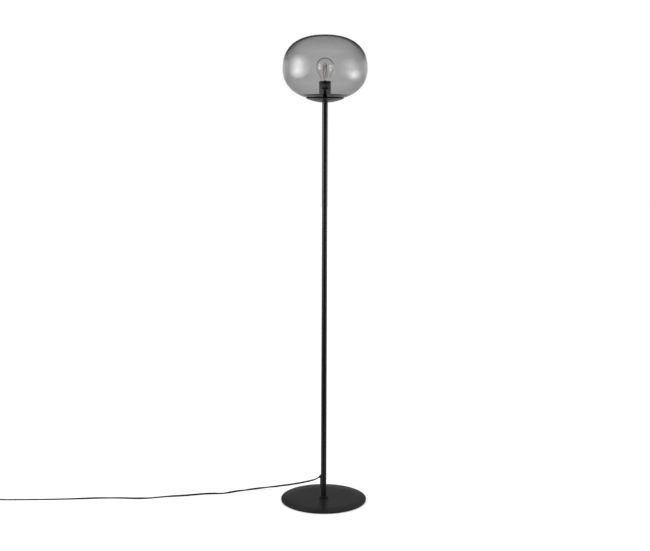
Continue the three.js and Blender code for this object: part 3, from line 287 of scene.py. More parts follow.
# %% Make the metals and the rest
metals = {}
for name, dark, light, smooth, rough in (
    ("zinc_plated_steel", "#8f9295", "#b3b5b8", 0.3, 0.45),
    ("nickel_plating", "#a9a59d", "#c9c5bc", 0.16, 0.28),
    ("bare_brass", "#a07f43", "#c2a260", 0.25, 0.4),
):
    metals[name] = grained(name, (900, 900, 90), 3.0, [(0.3, dark), (0.7, light)], {"Metallic": 1.0},
                           gloss=(smooth, rough))
plain_finishes = {}
for name, dark, light, rough in (
    ("glazed_ceramic", "#d9d4c8", "#e8e4da", 0.3),
    ("brown_wire_sheath", "#4e2d1a", "#5c3620", 0.5),
    ("blue_wire_sheath", "#2f5597", "#3a63a8", 0.5),
):
    plain_finishes[name] = grained(name, (400, 400, 400), 3.0, [(0.3, dark), (0.7, light)], {"Roughness": rough})


# %% [markdown]
# ## Finishes for the solids that stay
#
# The pieces inside the lamp keep their solids, because their shapes are right and hardly show. Each gets the finish
# of its slot in the record.

# %% Give each solid the finish of its slot
finish_of_slot = {
    "black_paint": powder_coat,
    "black_moulding": moulding,
    "black_rubber": rubber,
    "cord_jacket": jacket,
    "steel": metals["zinc_plated_steel"],
    "nickel": metals["nickel_plating"],
    "brass": metals["bare_brass"],
    "carrier_ceramic": plain_finishes["glazed_ceramic"],
    "smoked_glass": smoked_glass,
    "clear_glass": clear_glass,
    "insulator_glass": black_glass,
    "filament_coating": coating,
    "wire_sheath_brown": plain_finishes["brown_wire_sheath"],
    "wire_sheath_blue": plain_finishes["blue_wire_sheath"],
}
slot_of_node = {entry["node"]: entry["material_slot"] for entry in frame["record"]["subparts"]}
for name, node in nodes.items():
    for material_slot in node.material_slots:
        material_slot.material = finish_of_slot[slot_of_node[name]]
for name in ("lampholder_lower", "lampholder_upper"):
    for material_slot in nodes[name].material_slots:
        material_slot.material = holder_plastic
print("finishes given to", len(nodes), "solids")


# %% [markdown]
# ## Helpers for shapes
#
# Most of this lamp was turned or spun, so most pieces start as one vertex that is extruded along half of the outline
# and then spun about the pole's axis. An outline that starts and ends on the axis closes by itself, and any other is
# joined up to its start. The moulded pieces start as boxes with round edges. Sharp corners get a small bevel, as real
# edges have.

# %% Define the helpers for shapes
def start_clean():
    """Leaves edit mode and deselects everything, so that operators act on the next piece alone."""
    if bpy.context.object and bpy.context.object.mode != "OBJECT":
        bpy.ops.object.mode_set(mode="OBJECT")
    bpy.ops.object.select_all(action="DESELECT")


def draw_chain(name, points):
    """A new piece in edit mode with one line of edges through the points, in metres."""
    start_clean()
    bpy.ops.mesh.primitive_plane_add(size=MM)
    piece = bpy.context.object
    piece.name = piece.data.name = name
    bpy.ops.object.mode_set(mode="EDIT")
    bpy.ops.mesh.select_mode(type="VERT")
    bpy.ops.mesh.select_all(action="SELECT")
    bpy.ops.mesh.merge(type="CENTER")
    bpy.ops.transform.translate(value=points[0])
    for before, after in zip(points, points[1:]):
        step = Vector(after) - Vector(before)
        bpy.ops.mesh.extrude_region_move(TRANSFORM_OT_translate={"value": step})
    return piece


def turn(name, outline, steps=96):
    """Spins an outline of (radius, height) points, in millimetres, about Z into one closed shell."""
    points = [(radius * MM, 0.0, height * MM) for radius, height in outline]
    if outline[0][0] > 0:
        points.append(points[0])
    piece = draw_chain(name, points)
    bpy.ops.mesh.select_all(action="SELECT")
    bpy.ops.mesh.spin(steps=steps, angle=2 * math.pi, center=(0, 0, 0), axis=(0, 0, 1))
    bpy.ops.mesh.select_all(action="SELECT")
    bpy.ops.mesh.remove_doubles(threshold=2e-6)
    bpy.ops.mesh.normals_make_consistent(inside=False)
    bpy.ops.object.mode_set(mode="OBJECT")
    return piece


def apply_all(piece):
    """Applies every modifier of a piece, in order."""
    start_clean()
    piece.select_set(True)
    bpy.context.view_layer.objects.active = piece
    for modifier in list(piece.modifiers):
        bpy.ops.object.modifier_apply(modifier=modifier.name)


def soften(piece, width, segments=2, angle=35.0):
    """Bevels the sharp edges of a piece by a width in millimetres."""
    bevel = piece.modifiers.new("bevel", "BEVEL")
    bevel.width = width * MM
    bevel.segments = segments
    bevel.limit_method = "ANGLE"
    bevel.angle_limit = math.radians(angle)
    bevel.use_clamp_overlap = True
    apply_all(piece)


def cut_with(piece, tool, operation="DIFFERENCE"):
    """Cuts or joins a piece with another closed shape, which is used up."""
    boolean = piece.modifiers.new("boolean", "BOOLEAN")
    boolean.operation = operation
    boolean.solver = "EXACT"
    boolean.object = tool
    apply_all(piece)
    bpy.data.objects.remove(tool)


def settle(piece):
    """Puts the piece's place and turn into its mesh, with its object at the origin."""
    start_clean()
    piece.select_set(True)
    bpy.context.view_layer.objects.active = piece
    bpy.ops.object.transform_apply(location=True, rotation=True, scale=True)


def block(size, place, turned=0.0):
    """A box of a size and at a place in metres, turned about Z."""
    start_clean()
    bpy.ops.mesh.primitive_cube_add(size=1, location=place, rotation=(0, 0, turned))
    piece = bpy.context.object
    piece.dimensions = size
    settle(piece)
    return piece


def cylinder(radius, length, place=(0, 0, 0), turned=(0, 0, 0), sides=32):
    """A cylinder with its length along Z before it is turned, in metres."""
    start_clean()
    bpy.ops.mesh.primitive_cylinder_add(vertices=sides, radius=radius, depth=length, location=place, rotation=turned)
    return bpy.context.object


def round_box(piece, radius, segments, only_upright=False):
    """Rounds all edges of a box, or only its upright ones."""
    bpy.ops.object.mode_set(mode="EDIT")
    bpy.ops.mesh.select_mode(type="EDGE")
    bpy.ops.mesh.select_all(action="DESELECT")
    bpy.ops.object.mode_set(mode="OBJECT")
    for edge in piece.data.edges:
        one, other = (piece.data.vertices[v].co for v in edge.vertices)
        edge.select = not only_upright or abs(one.z - other.z) > MM
    bpy.ops.object.mode_set(mode="EDIT")
    bpy.ops.mesh.bevel(offset=radius, segments=segments, affect="EDGES")
    bpy.ops.object.mode_set(mode="OBJECT")


def place_at(piece, matrix):
    """Moves and turns a piece by a matrix, and puts that into its mesh."""
    piece.matrix_world = matrix
    settle(piece)


def dress(piece, body, material, slot, *cad_nodes, angle=40.0):
    """Shades a finished piece smoothly, gives it its finish, and lets it stand for its solids on their body."""
    start_clean()
    piece.select_set(True)
    bpy.context.view_layer.objects.active = piece
    bpy.ops.object.shade_smooth_by_angle(angle=math.radians(angle))
    piece.data.materials.clear()
    piece.data.materials.append(material)
    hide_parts(*cad_nodes)
    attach(piece, body)
    print(piece.name, "has", len(piece.data.polygons), "faces")


def arc(centre_radius, centre_height, radius, start, end, steps=5):
    """Points of an arc in an outline, from one angle to another in degrees."""
    angles = [math.radians(start + (end - start) * i / steps) for i in range(steps + 1)]
    return [(centre_radius + radius * math.cos(a), centre_height + radius * math.sin(a)) for a in angles]


def low(node):
    """The height of a solid's lowest point, in millimetres."""
    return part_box(node)[0][2] / MM


def high(node):
    """The height of a solid's highest point, in millimetres."""
    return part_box(node)[1][2] / MM


# %% [markdown]
# ## The route of the lead
#
# A flat two-core mains lead leaves a moulded outlet at the foot of the pole, hangs over the base's edge, and wanders
# over the floor to the left. It could be draped by simulation, but a route through listed points follows the
# photograph better. The points are joined by one smooth curve, the same kind that the solids use, and the curve is
# divided evenly.

# %% Join the route's points by a smooth curve
CORD_WIDTH = 5.6
CORD_THICKNESS = 3.4
FLOOR_CENTRE = 2.9  # height of the route where the cord lies on the floor


def smooth_route(points, spacing):
    """Evenly spaced points on the centripetal curve through the given points."""
    places = [Vector(point) for point in points]
    places = [2 * places[0] - places[1]] + places + [2 * places[-1] - places[-2]]
    dense = [places[1].copy()]
    for p0, p1, p2, p3 in zip(places, places[1:], places[2:], places[3:]):
        t1 = (p1 - p0).length ** 0.5
        t2 = t1 + (p2 - p1).length ** 0.5
        t3 = t2 + (p3 - p2).length ** 0.5
        for i in range(1, 25):
            t = t1 + (t2 - t1) * i / 24
            a1 = p0 * (t1 - t) / t1 + p1 * t / t1
            a2 = p1 * (t2 - t) / (t2 - t1) + p2 * (t - t1) / (t2 - t1)
            a3 = p2 * (t3 - t) / (t3 - t2) + p3 * (t - t2) / (t3 - t2)
            b1 = a1 * (t2 - t) / t2 + a2 * t / t2
            b2 = a2 * (t3 - t) / (t3 - t1) + a3 * (t - t1) / (t3 - t1)
            dense.append(b1 * (t2 - t) / (t2 - t1) + b2 * (t - t1) / (t2 - t1))
    lengths = [0.0]
    for before, after in zip(dense, dense[1:]):
        lengths.append(lengths[-1] + (after - before).length)
    count = max(2, round(lengths[-1] / spacing))
    route, at = [], 0
    for i in range(count + 1):
        wanted = lengths[-1] * i / count
        while at + 2 < len(lengths) and lengths[at + 1] < wanted:
            at += 1
        share = (wanted - lengths[at]) / (lengths[at + 1] - lengths[at])
        route.append(dense[at].lerp(dense[at + 1], share))
    return route


# %% [markdown]
# ## The shape of the lead
#
# The two cores lie side by side in one jacket, 5.6 mm wide and 3.4 mm thick, with a shallow groove between them. The
# lead turns over slowly along its way, so the photograph shows now its broad and now its narrow side. A round tube
# would miss that, so a section of two joined lobes is carried along the route and turned by an angle that changes
# with the distance. Where the flat side is down, the lead also sinks to the floor.

# %% Carry the section along a route
def lead_section(sides=24):
    """Points round two joined lobes, across and up, in millimetres."""
    lobe = CORD_THICKNESS / 2
    reach = CORD_WIDTH / 2 - lobe
    section = []
    for i in range(sides):
        angle = 2 * math.pi * i / sides
        across = math.copysign(reach, math.cos(angle)) if abs(math.cos(angle)) > 0.13 else 0.0
        dip = 0.82 if across == 0.0 else 1.0
        section.append((across + lobe * math.cos(angle) * (across != 0.0), lobe * math.sin(angle) * dip))
    return section


def ease(share):
    """A smooth step from 0 to 1."""
    share = min(max(share, 0.0), 1.0)
    return share * share * (3 - 2 * share)


def turn_at(turns, distance):
    """The lead's turn in degrees at a distance, eased between the given (distance, degrees) pairs."""
    for (from_distance, from_turn), (to_distance, to_turn) in zip(turns, turns[1:]):
        if distance <= to_distance:
            share = (distance - from_distance) / (to_distance - from_distance)
            return from_turn + (to_turn - from_turn) * ease(share)
    return turns[-1][1]


def lay_lead(name, route, turns, across=None):
    """A twin lead along a route in metres. Returns the piece, the centreline that it follows and its length."""
    section = lead_section()
    sides = len(section)
    lobe = CORD_THICKNESS / 2
    corners, uvs, centreline, distance = [], [], [], 0.0
    for i, place in enumerate(route):
        along = (route[min(i + 1, len(route) - 1)] - route[max(i - 1, 0)]).normalized()
        side = Vector(across) if across else along.cross(Vector((0, 0, 1))).normalized()
        above = side.cross(along).normalized()
        distance += (place - route[i - 1]).length if i else 0.0
        angle = math.radians(turn_at(turns, distance))
        half_height = lobe + (CORD_WIDTH / 2 - lobe) * abs(math.sin(angle))
        sink = (CORD_WIDTH / 2 - half_height) * (1 - ease((place.z / MM - FLOOR_CENTRE - 0.3) / 6.0))
        centre = place - Vector((0, 0, 1)) * sink * MM
        centreline.append(centre)
        for x, y in section:
            wide = (x * math.cos(angle) - y * math.sin(angle)) * MM
            tall = (x * math.sin(angle) + y * math.cos(angle)) * MM
            corners.append(centre + side * wide + above * tall)
        uvs.append(distance)
    faces = []
    for i in range(len(route) - 1):
        for s in range(sides):
            a, b = i * sides + s, i * sides + (s + 1) % sides
            faces.append((a, a + sides, b + sides, b))
    faces.append(tuple(range(sides)))
    faces.append(tuple(reversed(range((len(route) - 1) * sides, len(route) * sides))))
    mesh = bpy.data.meshes.new(name)
    mesh.from_pydata(corners, [], faces)
    layer = mesh.uv_layers.new(name="along")
    girth = 2 * math.pi * lobe * MM + 2 * (CORD_WIDTH - CORD_THICKNESS) * MM
    for polygon in mesh.polygons:
        for position, loop in enumerate(polygon.loop_indices):
            vertex = mesh.loops[loop].vertex_index
            ring, s = divmod(vertex, sides)
            wraps = len(polygon.vertices) == 4 and s == 0 and position >= 2
            layer.data[loop].uv = (uvs[ring], girth * (1.0 if wraps else s / sides))
    piece = bpy.data.objects.new(name, mesh)
    bpy.context.scene.collection.objects.link(piece)
    start_clean()
    piece.select_set(True)
    bpy.context.view_layer.objects.active = piece
    bpy.ops.object.mode_set(mode="EDIT")
    bpy.ops.mesh.select_all(action="SELECT")
    bpy.ops.mesh.normals_make_consistent(inside=False)
    bpy.ops.object.mode_set(mode="OBJECT")
    length = sum((after - before).length for before, after in zip(centreline, centreline[1:]))
    print(name, "is", round(length, 3), "m long")
    return piece, centreline, length


# %% [markdown]
# ## The lead on the floor
#
# The first stretch runs from the outlet to the foot switch. Its route is the list of the solids, here in metres.
# The photograph shows its first 0.7 m. The turns of the section, as pairs of distance and degrees, follow the
# places where the photograph's cord looks wide or narrow.

# %% Lay the lead to the foot switch
OUTLET_MOUTH = Vector((-0.013799, 0.006144, 0.0746))
OUTLET_AIM = Vector((-0.748329, 0.333178, -0.573576))  # the way the cord leaves the outlet
SWITCH_Y = -0.018
SWITCH_PLACE = Vector((-1.134, SWITCH_Y, 0.0))
SWITCH_LENGTH = 60.0
SWITCH_HEIGHT = 20.0
GLAND_LENGTH = 20.0
GLAND_HEIGHT = 6.5
gland_end = (SWITCH_LENGTH / 2 + GLAND_LENGTH) * MM
cord_route = [
    (-0.0183, 0.0081, 0.0712), (-0.026, 0.0115, 0.066), (-0.04, 0.018, 0.0592), (-0.058, 0.028, 0.0516),
    (-0.077, 0.0385, 0.044), (-0.096, 0.05, 0.037), (-0.116, 0.063, 0.0292), (-0.14, 0.076, 0.022),
    (-0.162, 0.086, 0.0154), (-0.188, 0.0945, 0.0098), (-0.215, 0.098, 0.0056), (-0.242, 0.094, 0.0032),
    (-0.268, 0.086, 0.0029), (-0.294, 0.073, 0.0029), (-0.32, 0.0585, 0.0029), (-0.346, 0.0515, 0.0029),
    (-0.372, 0.0485, 0.0029), (-0.398, 0.045, 0.0029), (-0.424, 0.0382, 0.0029), (-0.45, 0.031, 0.0029),
    (-0.476, 0.0255, 0.0029), (-0.502, 0.0218, 0.0029), (-0.528, 0.017, 0.0029), (-0.553, 0.0098, 0.0029),
    (-0.578, 0.0025, 0.0029), (-0.604, -0.0008, 0.0029), (-0.631, -0.0008, 0.0029), (-0.657, 0.002, 0.0029),
    (-0.684, 0.0038, 0.0029), (-0.736, 0.0016, 0.0029), (-0.8, -0.005, 0.0029), (-0.865, -0.0105, 0.0029),
    (-0.93, -0.014, 0.0029), (-0.995, -0.016, 0.0029), (-1.04, -0.0174, 0.0029), (-1.062, -0.018, 0.0044),
    (-1.076, -0.018, 0.0062),
]
first_start = OUTLET_MOUTH - OUTLET_AIM * 3 * MM
first_end = SWITCH_PLACE + Vector((gland_end - 2 * MM, 0, GLAND_HEIGHT * MM))
first_turns = [
    (0.0, 0.0), (0.06, 60.0), (0.1, 75.0), (0.175, 80.0), (0.212, 8.0), (0.255, 85.0), (0.292, 6.0), (0.333, 75.0),
    (0.37, 5.0), (0.415, 82.0), (0.455, 82.0), (0.5, 60.0), (0.525, 55.0), (0.565, 8.0), (0.605, 8.0), (0.645, 48.0),
    (0.68, 40.0), (0.735, 5.0), (0.8, 40.0), (0.88, 10.0), (1.0, 0.0), (1.2, 0.0),
]
first_route = smooth_route([first_start, OUTLET_MOUTH, *cord_route, first_end], 4 * MM)
lead_one, lead_one_line, lead_one_length = lay_lead("lead_to_switch", first_route, first_turns)


# %% [markdown]
# ## The coil beyond the picture
#
# The photograph doesn't show the rest of the lead, so it is put away neatly just outside the view: from the switch
# into a round coil of two layers, and on to the plug. The coil spirals in at a steady rate, climbs a layer and
# spirals out again. In a coil the lead stands on its narrow side, because it bends most easily that way.

# %% Wind the coil and lead it to the plug
COIL_PITCH = 6.3
COIL_MEAN_RADIUS = 31.0
COIL_TURNS = 3.75
COIL_CLIMB = 0.5
COIL_HEIGHT = 4.1
COIL_START = Vector((-1.246, SWITCH_Y, 0.0))
PLUG_FRONT = -99.0
PLUG_LENGTH = 36.0
PLUG_RELIEF = 20.0
PLUG_THICKNESS = 13.7
coil_outer = COIL_MEAN_RADIUS + COIL_TURNS * COIL_PITCH / 4
coil_inner = COIL_MEAN_RADIUS - COIL_TURNS * COIL_PITCH / 4
coil_middle = COIL_START + Vector((0, coil_outer * MM, 0))


def coil_point(turns):
    """A point of the coil's middle line after a number of turns."""
    radius = coil_inner + abs(turns - COIL_TURNS / 2) * COIL_PITCH
    climb = ease((turns - (COIL_TURNS - COIL_CLIMB) / 2) / COIL_CLIMB)
    angle = -2 * math.pi * (turns + 0.25)
    up = COIL_HEIGHT + COIL_PITCH * climb
    return coil_middle + Vector((radius * math.cos(angle), radius * math.sin(angle), up)) * MM


wound = [coil_point(i / 24) for i in range(round(COIL_TURNS * 24) + 1)]
lead_x = SWITCH_PLACE.x - gland_end
plug_x = coil_middle.x + coil_outer * MM
plug_back = (PLUG_FRONT + PLUG_LENGTH + PLUG_RELIEF) * MM
coil_top = (COIL_HEIGHT + COIL_PITCH) * MM
fall = 3 * CORD_WIDTH * MM
second_points = [
    (lead_x + 2 * MM, SWITCH_Y, GLAND_HEIGHT * MM),
    (lead_x, SWITCH_Y, GLAND_HEIGHT * MM),
    (lead_x - fall / 4, SWITCH_Y, GLAND_HEIGHT * MM - 0.0003),
    (lead_x - fall / 2, SWITCH_Y, (GLAND_HEIGHT + COIL_HEIGHT) / 2 * MM),
    (lead_x - fall, SWITCH_Y, COIL_HEIGHT * MM),
    (COIL_START.x + CORD_WIDTH * MM, SWITCH_Y, COIL_HEIGHT * MM),
    *wound,
    (plug_x, wound[-1].y - CORD_WIDTH * MM, coil_top),
    (plug_x, SWITCH_Y + CORD_WIDTH * MM, coil_top),
    (plug_x, SWITCH_Y - CORD_WIDTH / 2 * MM, coil_top),
    (plug_x, (SWITCH_Y - CORD_WIDTH / 2 * MM + plug_back) / 2, (coil_top + PLUG_THICKNESS / 2 * MM) / 2),
    (plug_x, plug_back + CORD_WIDTH / 2 * MM, PLUG_THICKNESS / 2 * MM),
    (plug_x, plug_back - 2 * MM, PLUG_THICKNESS / 2 * MM),
]
second_route = smooth_route(second_points, 3 * MM)
second_turns = [(0.0, 0.0), (0.05, 88.0), (0.8, 88.0), (0.85, 0.0), (1.0, 0.0)]
lead_two, lead_two_line, lead_two_length = lay_lead("lead_to_plug", second_route, second_turns)


# %% [markdown]
# ## The lead inside the pole
#
# Behind the outlet the lead bends upwards and climbs to the lampholder. It hardly shows, but the outlet's mouth would
# look empty without it.

# %% Run the lead up the pole
outwards = Vector((OUTLET_AIM.x, OUTLET_AIM.y, 0)).normalized()
pole_side = outwards.cross(Vector((0, 0, 1)))
inner_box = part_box("cord_in_pole")
bend_radius = 24.0
drop = 35.0
bend_reach = bend_radius * (1 - math.cos(math.radians(90 - drop)))
mouth_reach = Vector((OUTLET_MOUTH.x, OUTLET_MOUTH.y)).length / MM
bend_low = OUTLET_MOUTH.z / MM + (mouth_reach - bend_reach) * math.tan(math.radians(drop))
bend_high = bend_low + bend_radius * math.sin(math.radians(90 - drop))
inside = [OUTLET_MOUTH - OUTLET_AIM * 3.1 * MM]
for reach, height in arc(bend_radius, bend_high, bend_radius, 270 - drop, 180, 6):
    inside.append(outwards * reach * MM + Vector((0, 0, height * MM)))
inside += [Vector((0, 0, bend_high * MM + 0.03)), Vector((0, 0, 0.4)), Vector((0, 0, inner_box[1].z - 0.0005))]
inside_route = smooth_route(inside, 6 * MM)
lead_inside, _, _ = lay_lead("lead_in_pole", inside_route, [(0.0, 0.0), (1.4, 0.0)], across=-pole_side)
dress(lead_inside, "lamp", jacket, "cord_jacket", "cord_in_pole")
dress(lead_one, "lamp", jacket, "cord_jacket", "cord_to_switch")
dress(lead_two, "lamp", jacket, "cord_jacket", "cord_to_coil", "cord_coil", "cord_tail")


# %% [markdown]
# ## The base
#
# The base is a 6 mm steel disc, laser-cut and rounded along its upper edge, with a countersunk hole for the screw
# that holds the pole. A plain cylinder primitive with a bevel would do for the disc, but the countersink is easier
# to turn together with it. It has many steps, because its rim is a long smooth curve in the picture.

# %% Turn the base plate
plate_low, plate_high = low("base_plate"), high("base_plate")
base_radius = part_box("base_plate")[1].x / MM
screw_head = 8.62
screw_hole = 4.3
base_plate = turn("base_disc", [
    (screw_head, plate_low),
    (base_radius - 0.7, plate_low),
    *arc(base_radius - 0.7, plate_low + 0.7, 0.7, -90, 0, 3),
    *arc(base_radius - 1.4, plate_high - 1.4, 1.4, 0, 90, 5),
    (base_radius * 0.7, plate_high),
    (base_radius * 0.35, plate_high),
    (screw_hole, plate_high),
    (screw_hole, plate_low + screw_head - screw_hole),
], steps=160)
dress(base_plate, "lamp", powder_coat, "black_paint", "base_plate")

# %% [markdown]
# ## The feet
#
# Four thin rubber pads keep the disc off the floor. The first is turned and rounded, and the others are copies with
# their own meshes.

# %% Turn one foot and copy it
foot_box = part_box("base_foot_1")
foot_radius = (foot_box[1].x - foot_box[0].x) / 2 / MM
foot_high = high("base_foot_1")
first_foot = turn("rubber_foot_1", [
    (0, 0.25), (foot_radius * 0.45, 0.25), (foot_radius * 0.55, 0),
    (foot_radius - 0.4, 0), *arc(foot_radius - 0.4, 0.4, 0.4, -60, 0, 2),
    *arc(foot_radius - 0.3, foot_high - 0.3, 0.3, 0, 90, 2), (0, foot_high),
], steps=48)
feet = [first_foot]
for number in (2, 3, 4):
    foot = first_foot.copy()
    foot.data = first_foot.data.copy()
    foot.name = foot.data.name = f"rubber_foot_{number}"
    bpy.context.scene.collection.objects.link(foot)
    feet.append(foot)
for number, foot in enumerate(feet, start=1):
    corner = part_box(f"base_foot_{number}")
    middle = (corner[0] + corner[1]) / 2
    foot.location = (middle.x, middle.y, 0)
    settle(foot)
    dress(foot, "lamp", rubber, "black_rubber", f"base_foot_{number}")

# %% [markdown]
# ## Collar and pole
#
# The collar is a small turned ring round the foot of the pole, and the pole is a drawn tube with a slot for the cord
# behind the outlet. The tube's outline has a few extra points along its length, so that no face of it is very long
# and thin. The slot is cut with a block.

# %% Turn the collar and the pole
POLE_RADIUS = 9.0
POLE_BORE = 7.8
COLLAR_BORE = 9.3
CORD_SLOT = (0.012, 0.007, 0.015)
CORD_SLOT_HEIGHT = Vector((0, 0, 0.0775))
collar_low, collar_high = low("base_collar"), high("base_collar")
collar_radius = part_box("base_collar")[1].x / MM
collar = turn("foot_collar", [
    (COLLAR_BORE, collar_low), (collar_radius, collar_low),
    *arc(collar_radius - 0.9, collar_high - 0.9, 0.9, 0, 90, 5), (COLLAR_BORE, collar_high),
], steps=72)
dress(collar, "lamp", powder_coat, "black_paint", "base_collar")

pole_low, pole_high = low("pole"), high("pole")
pole = turn("pole_tube", [
    (POLE_BORE, pole_low), *[(POLE_RADIUS, height) for height in (pole_low, 120, 500, 900, pole_high)],
    *[(POLE_BORE, height) for height in (pole_high, 900, 500, 120)],
], steps=64)
outlet_turn = math.atan2(outwards.y, outwards.x)
cut_with(pole, block(CORD_SLOT, outwards * POLE_RADIUS * MM + CORD_SLOT_HEIGHT, outlet_turn))
dress(pole, "lamp", powder_coat, "black_paint", "pole")


# %% [markdown]
# ## The cord's outlet
#
# A moulded strip is screwed to the pole at its left and rear. Its upper end swells into a nose that points down and
# outwards, and the cord leaves through it. The strip starts as a cube whose edges are all well rounded, the nose is a
# turned cone joined to it, and then the pole and the cord's way are cut out.

# %% Model the outlet
STRIP_REACH = 0.0124  # from the pole's axis outwards
STRIP_WIDTH = 0.0086
STRIP_CORNER = 0.0042
POLE_HOLLOW = 0.0093
CORD_BORE = 0.0031
SCREW_BORE = 0.0024
SCREW_PLACE = Vector((0.0125, 0, 0.0475))
to_outlet = Matrix.Rotation(outlet_turn, 4, "Z")
mouth = Matrix.Translation((mouth_reach * MM, 0, OUTLET_MOUTH.z)) @ Matrix.Rotation(math.radians(90 + drop), 4, "Y")
outlet_low, outlet_high = low("cord_outlet"), high("cord_outlet")
outlet = block((STRIP_REACH, STRIP_WIDTH, (outlet_high - outlet_low) * MM),
               (STRIP_REACH / 2, 0, (outlet_low + outlet_high) / 2 * MM))
outlet.name = outlet.data.name = "outlet_strip"
round_box(outlet, STRIP_CORNER, 8)
soften(outlet, 1.0, segments=3, angle=60.0)
nose = turn("nose", [(0, -9), (5.0, -9), (4.6, -5), (4.1, -0.5), (3.8, 0), (0, 0)], steps=40)
place_at(nose, mouth)
cut_with(outlet, nose, "UNION")
cut_with(outlet, cylinder(POLE_HOLLOW, 0.1, (0, 0, 0.065), sides=64))
bore = cylinder(CORD_BORE, 0.024)
place_at(bore, mouth)
cut_with(outlet, bore)
cut_with(outlet, cylinder(SCREW_BORE, 0.004, SCREW_PLACE, (0, math.pi / 2, 0)))
place_at(outlet, to_outlet)
dress(outlet, "lamp", moulding, "black_moulding", "cord_outlet", angle=35.0)


# %% [markdown]
# ## Small screws
#
# The outlet and the foot switch are held by small screws with a low domed head and a cross recess. One is turned, its
# cross is cut with two thin blocks, and the others are copies of its mesh, each at its own place.

# %% Turn a screw and copy it
def cross_screw(name, head_radius, head_height, shank_radius, length):
    """A screw with its head's top at the origin and its shank along -Z, in millimetres."""
    screw = turn(name, [
        (0, 0), (head_radius * 0.6, -0.08), (head_radius, -head_height * 0.45), (head_radius, -head_height),
        (shank_radius, -head_height), (shank_radius, 0.5 - length), (shank_radius * 0.5, -length), (0, -length),
    ], steps=32)
    for angle in (0.0, math.pi / 2):
        blade = (head_radius * 1.3 * MM, head_radius * 0.28 * MM, head_height * 1.1 * MM)
        cut_with(screw, block(blade, (0, 0, 0), angle))
    return screw


HEAD_REACH = 0.0121  # from the pole's axis to the top of the screw's head
outlet_screw = cross_screw("outlet_screw", 2.1, 1.3, 1.3, 8.0)
place_at(outlet_screw, to_outlet @ Matrix.Translation((HEAD_REACH, 0, SCREW_PLACE.z)) @ Matrix.Rotation(
    math.pi / 2, 4, "Y"))
dress(outlet_screw, "lamp", metals["zinc_plated_steel"], "steel", "cord_outlet_screw")


# %% [markdown]
# ## The dish
#
# The dish was spun from sheet: a shallow part of a sphere with a flat middle and a shelf turned in at its lip, on
# which the seal and the glass stand. A cut sphere would give the bowl but not the shelf, so the whole outline is
# turned, with finer arcs than the solid has.

# %% Turn the dish
NIPPLE_HOLE = 5.3
SHELF_REACH = 42.0
head = low("dish")
lip_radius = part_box("dish")[1].x / MM
dish_depth = high("dish") - head
seat = 13.0
wall = 2.0
centre = (lip_radius ** 2 + dish_depth ** 2 - seat ** 2) / (2 * dish_depth)
bowl = math.hypot(seat, centre)
cup_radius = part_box("socket_cup")[1].x / MM
cup_seat = cup_radius + 0.6


def bowl_points(radius, start, end, steps):
    """Points on the bowl's arc between two radii."""
    radii = [start + (end - start) * i / steps for i in range(steps + 1)]
    return [(r, head + centre - math.sqrt(radius ** 2 - r ** 2)) for r in radii]


inner = bowl - wall
shelf = dish_depth - wall
inner_lip = math.sqrt(inner ** 2 - (centre - shelf) ** 2)
dish = turn("glass_dish", [
    (NIPPLE_HOLE, head), (POLE_RADIUS, head), *bowl_points(bowl, seat, lip_radius - 0.3, 18),
    (lip_radius, head + dish_depth - 0.35), (lip_radius - 0.3, head + dish_depth),
    (SHELF_REACH, head + dish_depth), (SHELF_REACH, head + shelf), *bowl_points(inner, inner_lip, cup_seat, 12),
    (cup_seat, head + wall), (NIPPLE_HOLE, head + wall),
], steps=128)
dress(dish, "lamp", powder_coat, "black_paint", "dish", angle=30.0)

# %% [markdown]
# ## The seal
#
# A rubber ring lies on the shelf under the glass. Its upstand keeps the glass in the middle, so its section is an L
# with soft corners, and it is turned.

# %% Turn the seal
seal_low, seal_high = low("shade_seal"), high("shade_seal")
seal_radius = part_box("shade_seal")[1].x / MM
upstand = 46.5
seal = turn("glass_seal", [
    (upstand - 2.4, seal_low), (seal_radius - 0.3, seal_low), (seal_radius, seal_low + 0.3),
    (seal_radius, seal_low + 0.9), (seal_radius - 0.3, seal_low + 1.2), (upstand + 0.3, seal_low + 1.2),
    (upstand, seal_low + 1.5), (upstand, seal_high - 0.8), (upstand - 0.8, seal_high),
    (upstand - 1.8, seal_high), (upstand - 2.4, seal_high - 0.6),
], steps=96)
dress(seal, "lamp", rubber, "black_rubber", "shade_seal")

# %% [markdown]
# ## The socket cup
#
# The cup that holds the lampholder is a drawn tube with a floor. Drawing rounds the edge of its floor and leaves a
# thin wall, so both are in the outline.

# %% Turn the socket cup
cup_low, cup_high = low("socket_cup"), high("socket_cup")
cup = turn("lampholder_cup", [
    (NIPPLE_HOLE, cup_low), (cup_radius - 0.8, cup_low), *arc(cup_radius - 0.8, cup_low + 0.8, 0.8, -90, 0, 4),
    (cup_radius, (cup_low + cup_high) / 2), (cup_radius, cup_high - 0.15), (cup_radius - 0.15, cup_high),
    (cup_radius - 0.65, cup_high), (cup_radius - 0.8, cup_high - 0.15), (cup_radius - 0.8, cup_low + 1.0),
    (NIPPLE_HOLE, cup_low + 1.0),
], steps=96)
dress(cup, "lamp", powder_coat, "black_paint", "socket_cup", angle=30.0)


# %% [markdown]
# ## The lampholder's rim
#
# Only the collar of the plastic lampholder shows above the cup. It is as wide as the cup, with a rounded rim, and has
# fine grip grooves all round so that it can be screwed down by hand. The grooves are real dents: every third column
# of faces is pushed in a little.

